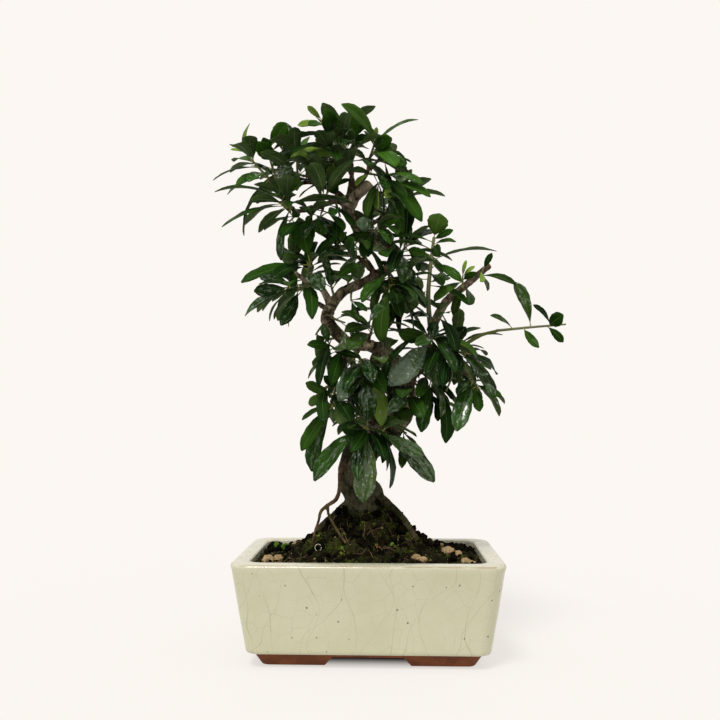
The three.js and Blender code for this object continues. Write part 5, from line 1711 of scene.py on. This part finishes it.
# %% Leaf finish
# Colours of the upper side. The sheen, the pale wet gleam and the white of drops are painted reflection
# and painted highlights, not colours of the leaf.
LEAF_TOP = {
    "deep": (0.0009, 0.0055, 0.0012, 1), "deep_lime": (0.019, 0.066, 0.004, 1),
    "light": (0.006, 0.024, 0.003, 1), "light_lime": (0.042, 0.115, 0.009, 1),
    "sheen": (0.06, 0.095, 0.052, 1), "young": (0.17, 0.27, 0.04, 1), "vein": (0.07, 0.13, 0.035, 1),
    "rib": (0.12, 0.2, 0.05, 1), "painted_gleam": (0.085, 0.125, 0.075, 1), "drop_glint": (0.45, 0.5, 0.43, 1),
}
LEAF_UNDER = {
    "dull": (0.03, 0.062, 0.014, 1), "pale": (0.058, 0.1, 0.028, 1), "young": (0.22, 0.31, 0.07, 1),
    "vein": (0.14, 0.19, 0.1, 1), "rib": (0.24, 0.3, 0.13, 1),
}


def build_veins():
    outputs = [("Rib", "Float"), ("Veins", "Float")]
    group, recipe, given, wanted = new_group("veins", [("Leaf", "Vector", None)], outputs)
    part = recipe.add("SeparateXYZ", {0: given["Leaf"]}).outputs
    out = recipe.math("ABSOLUTE", recipe.minus(part["X"], 0.5))
    width = recipe.ramp(part["Y"], 0, 1, 0.05, 0.018)
    fall = {"Value": out, "From Min": 0.0, "From Max": width, "To Min": 1.0, "To Max": 0.0}
    slant = recipe.minus(recipe.times(part["Y"], 60.0), recipe.times(out, 34.0))
    lines = recipe.ramp(recipe.math("SINE", slant), 0.75, 1.0)
    recipe.give(wanted["Rib"], recipe.add("MapRange", fall).outputs[0])
    recipe.give(wanted["Veins"], lines)
    return group


veins = build_veins()


def build_leaf_top():
    material, recipe, shader = new_material("leaf_top")
    where = recipe.place()
    leaf = recipe.add("UVMap", uv_map="leaf").outputs["UV"]
    lines = recipe.use(veins, Leaf=leaf)
    tone = recipe.use(mottle, Place=where, Scale=60.0)
    tint, age = recipe.read("tint"), recipe.read("age")
    deep = recipe.mix(tint, LEAF_TOP["deep"], LEAF_TOP["deep_lime"])
    light = recipe.mix(tint, LEAF_TOP["light"], LEAF_TOP["light_lime"])
    body = recipe.mix(recipe.times(tone["Value"], 0.6), deep, light)
    film = recipe.read("wet")
    # Painted reflection: the wettest leaves get a silvery sheen in their colour.
    sheen = recipe.times(recipe.ramp(film, 1, 1.6), recipe.ramp(tone["Value"], 0, 1, 0.25, 0.75))
    body = recipe.mix(sheen, body, LEAF_TOP["sheen"])
    body = recipe.mix(age, body, LEAF_TOP["young"])
    body = recipe.mix(recipe.times(lines["Veins"], 0.16), body, LEAF_TOP["vein"])
    body = recipe.mix(recipe.times(lines["Rib"], 0.55), body, LEAF_TOP["rib"])
    drawn_out = recipe.add("Mapping", {"Vector": leaf, "Scale": (1.5, 2.4, 1)}).outputs[0]
    spot = recipe.add("VectorMath", {0: drawn_out, 1: where}, operation="ADD").outputs[0]
    patches = recipe.plus(recipe.noise(spot, 2.6, 5, 0.68), recipe.times(film, 0.16))
    wet = recipe.times(recipe.ramp(patches, 0.6, 0.67), recipe.ramp(film, 0.05, 0.3))
    # Painted reflection: wet patches are painted a pale grey-green gleam.
    painted_gleam = recipe.times(wet, recipe.ramp(tone["Fine"], 0, 1, 0.25, 0.7))
    body = recipe.mix(painted_gleam, body, LEAF_TOP["painted_gleam"])
    # Painted highlights: small white glints of drops on the wet patches.
    drop_glints = recipe.ramp(recipe.noise(where, 420.0, 3, 0.6), 0.6, 0.66)
    body = recipe.mix(recipe.times(recipe.times(drop_glints, wet), 0.45), body, LEAF_TOP["drop_glint"])
    gloss = recipe.minus(recipe.ramp(tone["Fine"], 0, 1, 0.34, 0.46), recipe.times(wet, 0.26))
    furrows = recipe.plus(lines["Rib"], recipe.times(lines["Veins"], 0.5))
    quilt = recipe.minus(recipe.times(wet, 0.5), furrows)
    coat = recipe.plus(recipe.times(film, 0.1), recipe.times(wet, 0.65))
    coat = recipe.plus(0.02, coat)
    plain = {"Specular_IOR_Level": 0.015, "Coat_Weight": coat, "Coat_Roughness": 0.1, "Coat_IOR": 1.5}
    finish(recipe, shader, body, gloss, quilt, 0.35, 0.0005, **plain)
    return material


def build_leaf_under():
    material, recipe, shader = new_material("leaf_underside")
    leaf = recipe.add("UVMap", uv_map="leaf").outputs["UV"]
    lines = recipe.use(veins, Leaf=leaf)
    tone = recipe.use(mottle, Place=recipe.place(), Scale=90.0)
    body = recipe.mix(tone["Value"], LEAF_UNDER["dull"], LEAF_UNDER["pale"])
    body = recipe.mix(recipe.read("age"), body, LEAF_UNDER["young"])
    body = recipe.mix(recipe.times(lines["Veins"], 0.2), body, LEAF_UNDER["vein"])
    body = recipe.mix(recipe.times(lines["Rib"], 0.8), body, LEAF_UNDER["rib"])
    ridges = recipe.plus(lines["Rib"], recipe.times(lines["Veins"], 0.4))
    plain = {"Roughness": 0.6, "Specular_IOR_Level": 0.04}
    finish(recipe, shader, body, None, ridges, 0.4, 0.0005, **plain)
    return material


def build_stem_bark():
    material, recipe, shader = new_material("green_stem")
    tone = recipe.use(mottle, Place=recipe.place(), Scale=160.0)
    age = recipe.read("age")
    colour = recipe.mix(tone["Value"], (0.05, 0.06, 0.02, 1), (0.085, 0.085, 0.035, 1))
    colour = recipe.mix(age, colour, (0.34, 0.36, 0.07, 1))
    finish(recipe, shader, colour, None, tone["Fine"], 0.3, 0.0004, Roughness=0.5)
    return material


LEAF_LOOKS = [build_leaf_top(), build_leaf_under(), build_stem_bark()]
print("leaf looks", [material.name for material in LEAF_LOOKS])

# %% [markdown]
# ## Leafy shoots
# Each shoot is one piece: its stem, a yellow-green stalk for every leaf, and the leaves. The leaf
# grids are given a wall with the solidify operator, and the faces that it returns are the
# underside. A Solidify modifier would thicken the stems as well.

# %% Leafy shoots
LEAF_THICK = 0.35
UNDER_SLOT, STEM_SLOT = 1, 2
YOUNG = {
    ("west_top", 1): 0.8, ("crown_left", 1): 0.9, ("crown_left", 5): 0.75, ("crown_right", 3): 0.3,
    ("crown_left", 0): 0.5, ("west_tip", 7): 0.35, ("upright", 0): 0.15, ("low_middle", 4): 0.7,
    ("fork", 2): 0.3, ("upper_left_inner", 0): 0.45, ("centre_right", 0): 0.3,
}
# How wet each listed leaf is. It sets the gloss of its wet patches and their painted gleam, and above 1
# a painted silvery sheen.
WET = {
    ("low_right_front", 0): 1.6, ("low_right_front", 1): 0.6, ("low_right_mid", 0): 0.7,
    ("low_right_far", 2): 0.7, ("trunk_right", 1): 0.9, ("low_front", 0): 0.8, ("low_front", 2): 0.9,
    ("low_front", 3): 0.5, ("low_front_right", 0): 0.9, ("low_front_right", 1): 0.9,
    ("centre_top", 0): 1.3, ("west_top", 4): 0.8, ("left_mid_up", 4): 0.8, ("upright", 10): 0.8,
    ("low_middle", 0): 1.5, ("left_low_tip", 5): 0.4, ("centre_right", 2): 0.7, ("crown_right", 3): 0.6,
    ("crown_right", 4): 0.6, ("left_mid_low", 1): 0.6,
}
STOUT = {"upright": 1.9}
BUDS = {
    "west_tip": [[0.95, -117.5, -16, 407.6, 2.5], [1, -112, -6, 413, 2.5]],
    "crown_low_right": [[0.8, 11.3, -36, 365.4, 3], [0.8, 5, -34, 356.5, 3], [0.2, -13, -22, 376.8, 3]],
    "crown_right": [[1, -0.8, 0, 424, 3.5], [1, 4, -4, 425, 3.5]],
    "sawn_end": [[0.6, 89, -30, 296, 3]],
    "sawn_middle": [[1, 77, -16, 313, 3], [1, 84, -14, 308, 3]],
}


def add_stem(bm, points, stout=1):
    line = Line(points)
    ts = np.linspace(0, 1, max(6, round(line.length() / 3)))
    radii = [stout * (STEM[0] + (STEM[1] - STEM[0]) * t) for t in ts]
    tube(bm, line.at(ts), radii, 8)


def bud_blades(name):
    """Small new leaves at the tips, too fine for the solids."""
    line = Line(SHOOTS[name]["line"])
    for t, x, y, z, shown in BUDS.get(name, []):
        foot, tip = line.at(t)[0], place((x, y, z))
        facing, width = shown_facing(foot, tip, shown)
        yield blade_frame(foot, tip, facing, width)


def leaf_layers(bm):
    """The leaf's own map, and the numbers that its finish reads."""
    bm.loops.layers.uv.new("leaf")
    return {key: bm.verts.layers.float.new(key) for key in ("age", "tint", "wet")}


def thicken(bm, tops, thickness, slot):
    """Gives leaves a wall. The faces that come back are the underside, in a slot of their own."""
    for face in bmesh.ops.solidify(bm, geom=list(tops), thickness=thickness * MM)["geom"]:
        if isinstance(face, bmesh.types.BMFace):
            face.material_index = slot


def colour_tubes(faces, age, layers):
    for face in faces:
        face.material_index = STEM_SLOT
        for vert in face.verts:
            vert[layers["age"]] = age


def dress_shoot(name, seed):
    draws = random.Random(seed)
    bm = bmesh.new()
    layers = leaf_layers(bm)
    tops = set()
    for number, blade in enumerate(blades[name]):
        age = YOUNG.get((name, number), max(0, draws.gauss(0.0, 0.06)))
        wet = WET.get((name, number), max(0, draws.uniform(-0.5, 0.6)))
        # Painted shade and light: leaves inside the crown get darker tints, and tints grow with height,
        # so low leaves are painted darker and the top of the crown lighter.
        height = np.interp(blade["foot"][2], (150, 400), (0.4, 1))
        tint = draws.random() * (0.35 if blade.get("inner") else 1) * height
        tops |= add_leaf(bm, blade, draws, {"age": age, "wet": wet, "tint": tint}, layers)
    for blade in bud_blades(name):
        tops |= add_leaf(bm, blade, draws, {"age": 0.85, "wet": 0, "tint": 1}, layers)
    thicken(bm, tops, LEAF_THICK, UNDER_SLOT)
    before = set(bm.faces)
    for blade in [*blades[name], *bud_blades(name)]:
        add_stalk(bm, blade)
    colour_tubes(set(bm.faces) - before, 0.75, layers)
    before = set(bm.faces)
    for points in [SHOOTS[name]["line"], *TWIGS.get(name, [])]:
        add_stem(bm, points, STOUT.get(name, 1))
    colour_tubes(set(bm.faces) - before, 0.1, layers)
    shoot = new_piece(f"{name}_leaves", bm, LEAF_LOOKS)
    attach(shoot, "root")
    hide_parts(f"shoot_{name}")
    return len(shoot.data.polygons)


faces = sum(dress_shoot(name, number + 50) for number, name in enumerate(SHOOTS))
print("leafy shoots", faces, "faces")


# %% [markdown]
# ## Small things on the soil
# Clods lie along the wall, moss stands in tufts on the damp mound, and fine roots, two seedlings, a
# dry leaf and a curled fibre lie about. The few that can be told apart are placed where the eye
# sees them: a line of sight is followed until it meets the ground. The many stand by seeded draws.

# %% Places on the ground
CLODS = 240
TUFTS = 520
FIBRES = 34
SPROUTS = [
    ((-74.5, 78.7), (-78, 84.5), 4.2), ((-75.3, 78), (-67, 83), 4.6), ((-73, 78), (-72, 82), 2.5),
    ((-22, 78), (-25, 81.5), 2.0), ((14, 82), (17, 85), 1.8),
]
DRY = [((4, 84), (7, 74.5), 5), ((10, 90), (5, 87), 3.4), ((-30, 92), (-26, 87), 3.6)]
CURL = (-43, 79.5)
print("to lay:", CLODS, "clods,", TUFTS, "tufts,", FIBRES + 1, "fibres,", len(SPROUTS + DRY), "leaves")


def on_ground(x, z):
    """Where the line of sight through a point of the upright plane meets the ground."""
    for y in np.arange(-46, 46, 0.5):
        spot = place((x, y, z))
        if ground(spot[0], spot[1]) > spot[2]:
            break
    return spot


def in_mouth(x, y, gap):
    """Whether a place lies on the soil, at least a gap away from the pot's wall."""
    gap += POT["rim"]
    return abs(x) < POT["length"] / 2 - gap and abs(y) < POT["width"] / 2 - gap


# %% Clods and moss
def lay_clods():
    draws = random.Random(5)
    bm = bmesh.new()
    half = (POT["length"] / 2 - POT["rim"] - 4.6, POT["width"] / 2 - POT["rim"] - 4.6)
    for number in range(CLODS):
        u, v = draws.uniform(-1, 1), draws.uniform(-1, 1)
        if number % 3 == 0:
            v = draws.uniform(0.8, 1)
        elif number % 3 == 1:
            u = math.copysign(draws.uniform(0.75, 1), u)
        x, y = into_pot(u, v, half, 6)
        if number > 150:
            x, y = draws.gauss(SOIL["middle"], 24), draws.gauss(-8, 18)
            x, y = (x, y) if in_mouth(x, y, 6) else (SOIL["middle"], -20)
        size = draws.uniform(1.3, 3.9) * (0.8 if y < -20 else 1)
        spot = Vector(in_frame((x, y, ground(x, y) + size * 0.35)))
        draw = Vector((number * 3.7, number * 1.3, 0))
        for vert in bmesh.ops.create_icosphere(bm, subdivisions=2, radius=1)["verts"]:
            swell = 1 + 0.5 * noise.noise(vert.co * 1.7 + draw) + 0.25 * noise.noise(vert.co * 4 + draw)
            vert.co = vert.co * swell * size * MM * 0.9 + spot
    clods = new_piece("clods", bm, [damp_soil])
    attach(clods, "root")
    print("clods", len(clods.data.polygons), "faces")


def build_moss_material():
    material, recipe, shader = new_material("moss")
    tint = recipe.read("tint")
    colour = recipe.mix(tint, (0.012, 0.022, 0.004, 1), (0.07, 0.085, 0.012, 1))
    colour = recipe.mix(recipe.ramp(tint, 0.8, 0.95), colour, (0.17, 0.18, 0.03, 1))
    finish(recipe, shader, colour, Roughness=0.9, Specular_IOR_Level=0.1)
    return material


def grow_moss():
    draws = random.Random(8)
    bm = bmesh.new()
    tint_of = bm.verts.layers.float.new("tint")
    for _ in range(TUFTS):
        x, y = draws.gauss(SOIL["middle"], 27), draws.gauss(-6, 20)
        if not in_mouth(x, y, 4) or noise.noise(Vector((x, y, 0)) / 7) < -0.05:
            continue
        tint = draws.random()
        for _ in range(6):
            size = draws.uniform(0.9, 2.1)
            back, aside = draws.gauss(0, 0.6), draws.gauss(0, 0.6)
            turn = Matrix.Rotation(back, 3, "X") @ Matrix.Rotation(aside, 3, "Y")
            near = x + draws.gauss(0, 0.9), y + draws.gauss(0, 0.9)
            spot = Vector(in_frame((*near, top_of(*near) + size * 0.35)))
            made = bmesh.ops.create_cone(
                bm, cap_ends=True, segments=3, radius1=0.4 * MM, radius2=0.1 * MM, depth=size * MM,
            )["verts"]
            for vert in made:
                vert.co = turn @ vert.co + spot
                vert[tint_of] = tint
    tufts = new_piece("moss_tufts", bm, [build_moss_material()], smooth=False)
    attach(tufts, "root")
    print("moss", len(tufts.data.polygons), "faces")


lay_clods()
grow_moss()

# %% Fibres and sprouts
THIN_LEAF = 0.25


def build_fibre_material():
    material, recipe, shader = new_material("root_fibre")
    tone = recipe.use(mottle, Place=recipe.place(), Scale=120.0)
    colour = recipe.mix(tone["Value"], (0.05, 0.028, 0.014, 1), (0.17, 0.105, 0.055, 1))
    colour = recipe.mix(recipe.read("tint"), colour, (0.5, 0.46, 0.36, 1))
    finish(recipe, shader, colour, Roughness=0.8, Specular_IOR_Level=0.2)
    return material


def lay_fibres():
    draws = random.Random(3)
    bm = bmesh.new()
    tint_of = bm.verts.layers.float.new("tint")
    for _ in range(FIBRES):
        x, y, way = draws.gauss(SOIL["middle"], 32), draws.gauss(-14, 18), draws.uniform(0, 6.3)
        centres = []
        for _ in range(draws.randint(4, 10)):
            if in_mouth(x, y, 2):
                centres.append(np.array((x, y, top_of(x, y) + draws.uniform(0.1, 1.2))))
            way += draws.uniform(-0.8, 0.8)
            x, y = x + 2.6 * math.cos(way), y + 2.6 * math.sin(way)
        if len(centres) > 3:
            tube(bm, centres, np.linspace(draws.uniform(0.28, 0.55), 0.15, len(centres)), 4)
    middle = on_ground(*CURL) + np.array([0, -2.5, 1.5])
    turns = [np.array([math.cos(a), -0.12 * a, math.sin(a)]) for a in np.linspace(0.6, 6.5, 16)]
    before = set(bm.verts)
    tube(bm, [middle + 2.5 * turn for turn in turns], [0.24] * 16, 5)
    for vert in set(bm.verts) - before:
        vert[tint_of] = 1
    fibres = new_piece("root_fibres", bm, [build_fibre_material()])
    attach(fibres, "root")
    print("fibres", len(fibres.data.polygons), "faces")


def build_dry_material():
    material, recipe, shader = new_material("dry_leaf")
    tone = recipe.use(mottle, Place=recipe.place(), Scale=260.0)
    colour = recipe.mix(tone["Value"], (0.16, 0.055, 0.022, 1), (0.34, 0.15, 0.07, 1))
    finish(recipe, shader, colour, Roughness=0.7, Specular_IOR_Level=0.2)
    return material


def lay_leaves(name, rows, looks):
    draws = random.Random(21)
    bm = bmesh.new()
    layers = leaf_layers(bm)
    marks = {"age": 0.35, "tint": 1, "wet": 0}
    tops = set()
    for foot, tip, width in rows:
        foot = on_ground(*foot)
        tip = place((tip[0], foot[1] - 2, tip[1]))
        facing, _ = shown_facing(foot, tip, width)
        tops |= add_leaf(bm, blade_frame(foot, tip, facing, width), draws, marks, layers)
    thicken(bm, tops, THIN_LEAF, len(looks) - 1)
    piece = new_piece(name, bm, looks)
    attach(piece, "root")
    print(name, len(rows))


lay_fibres()
lay_leaves("seedlings", SPROUTS, LEAF_LOOKS[:2])
lay_leaves("dry_leaves", DRY, [build_dry_material()])
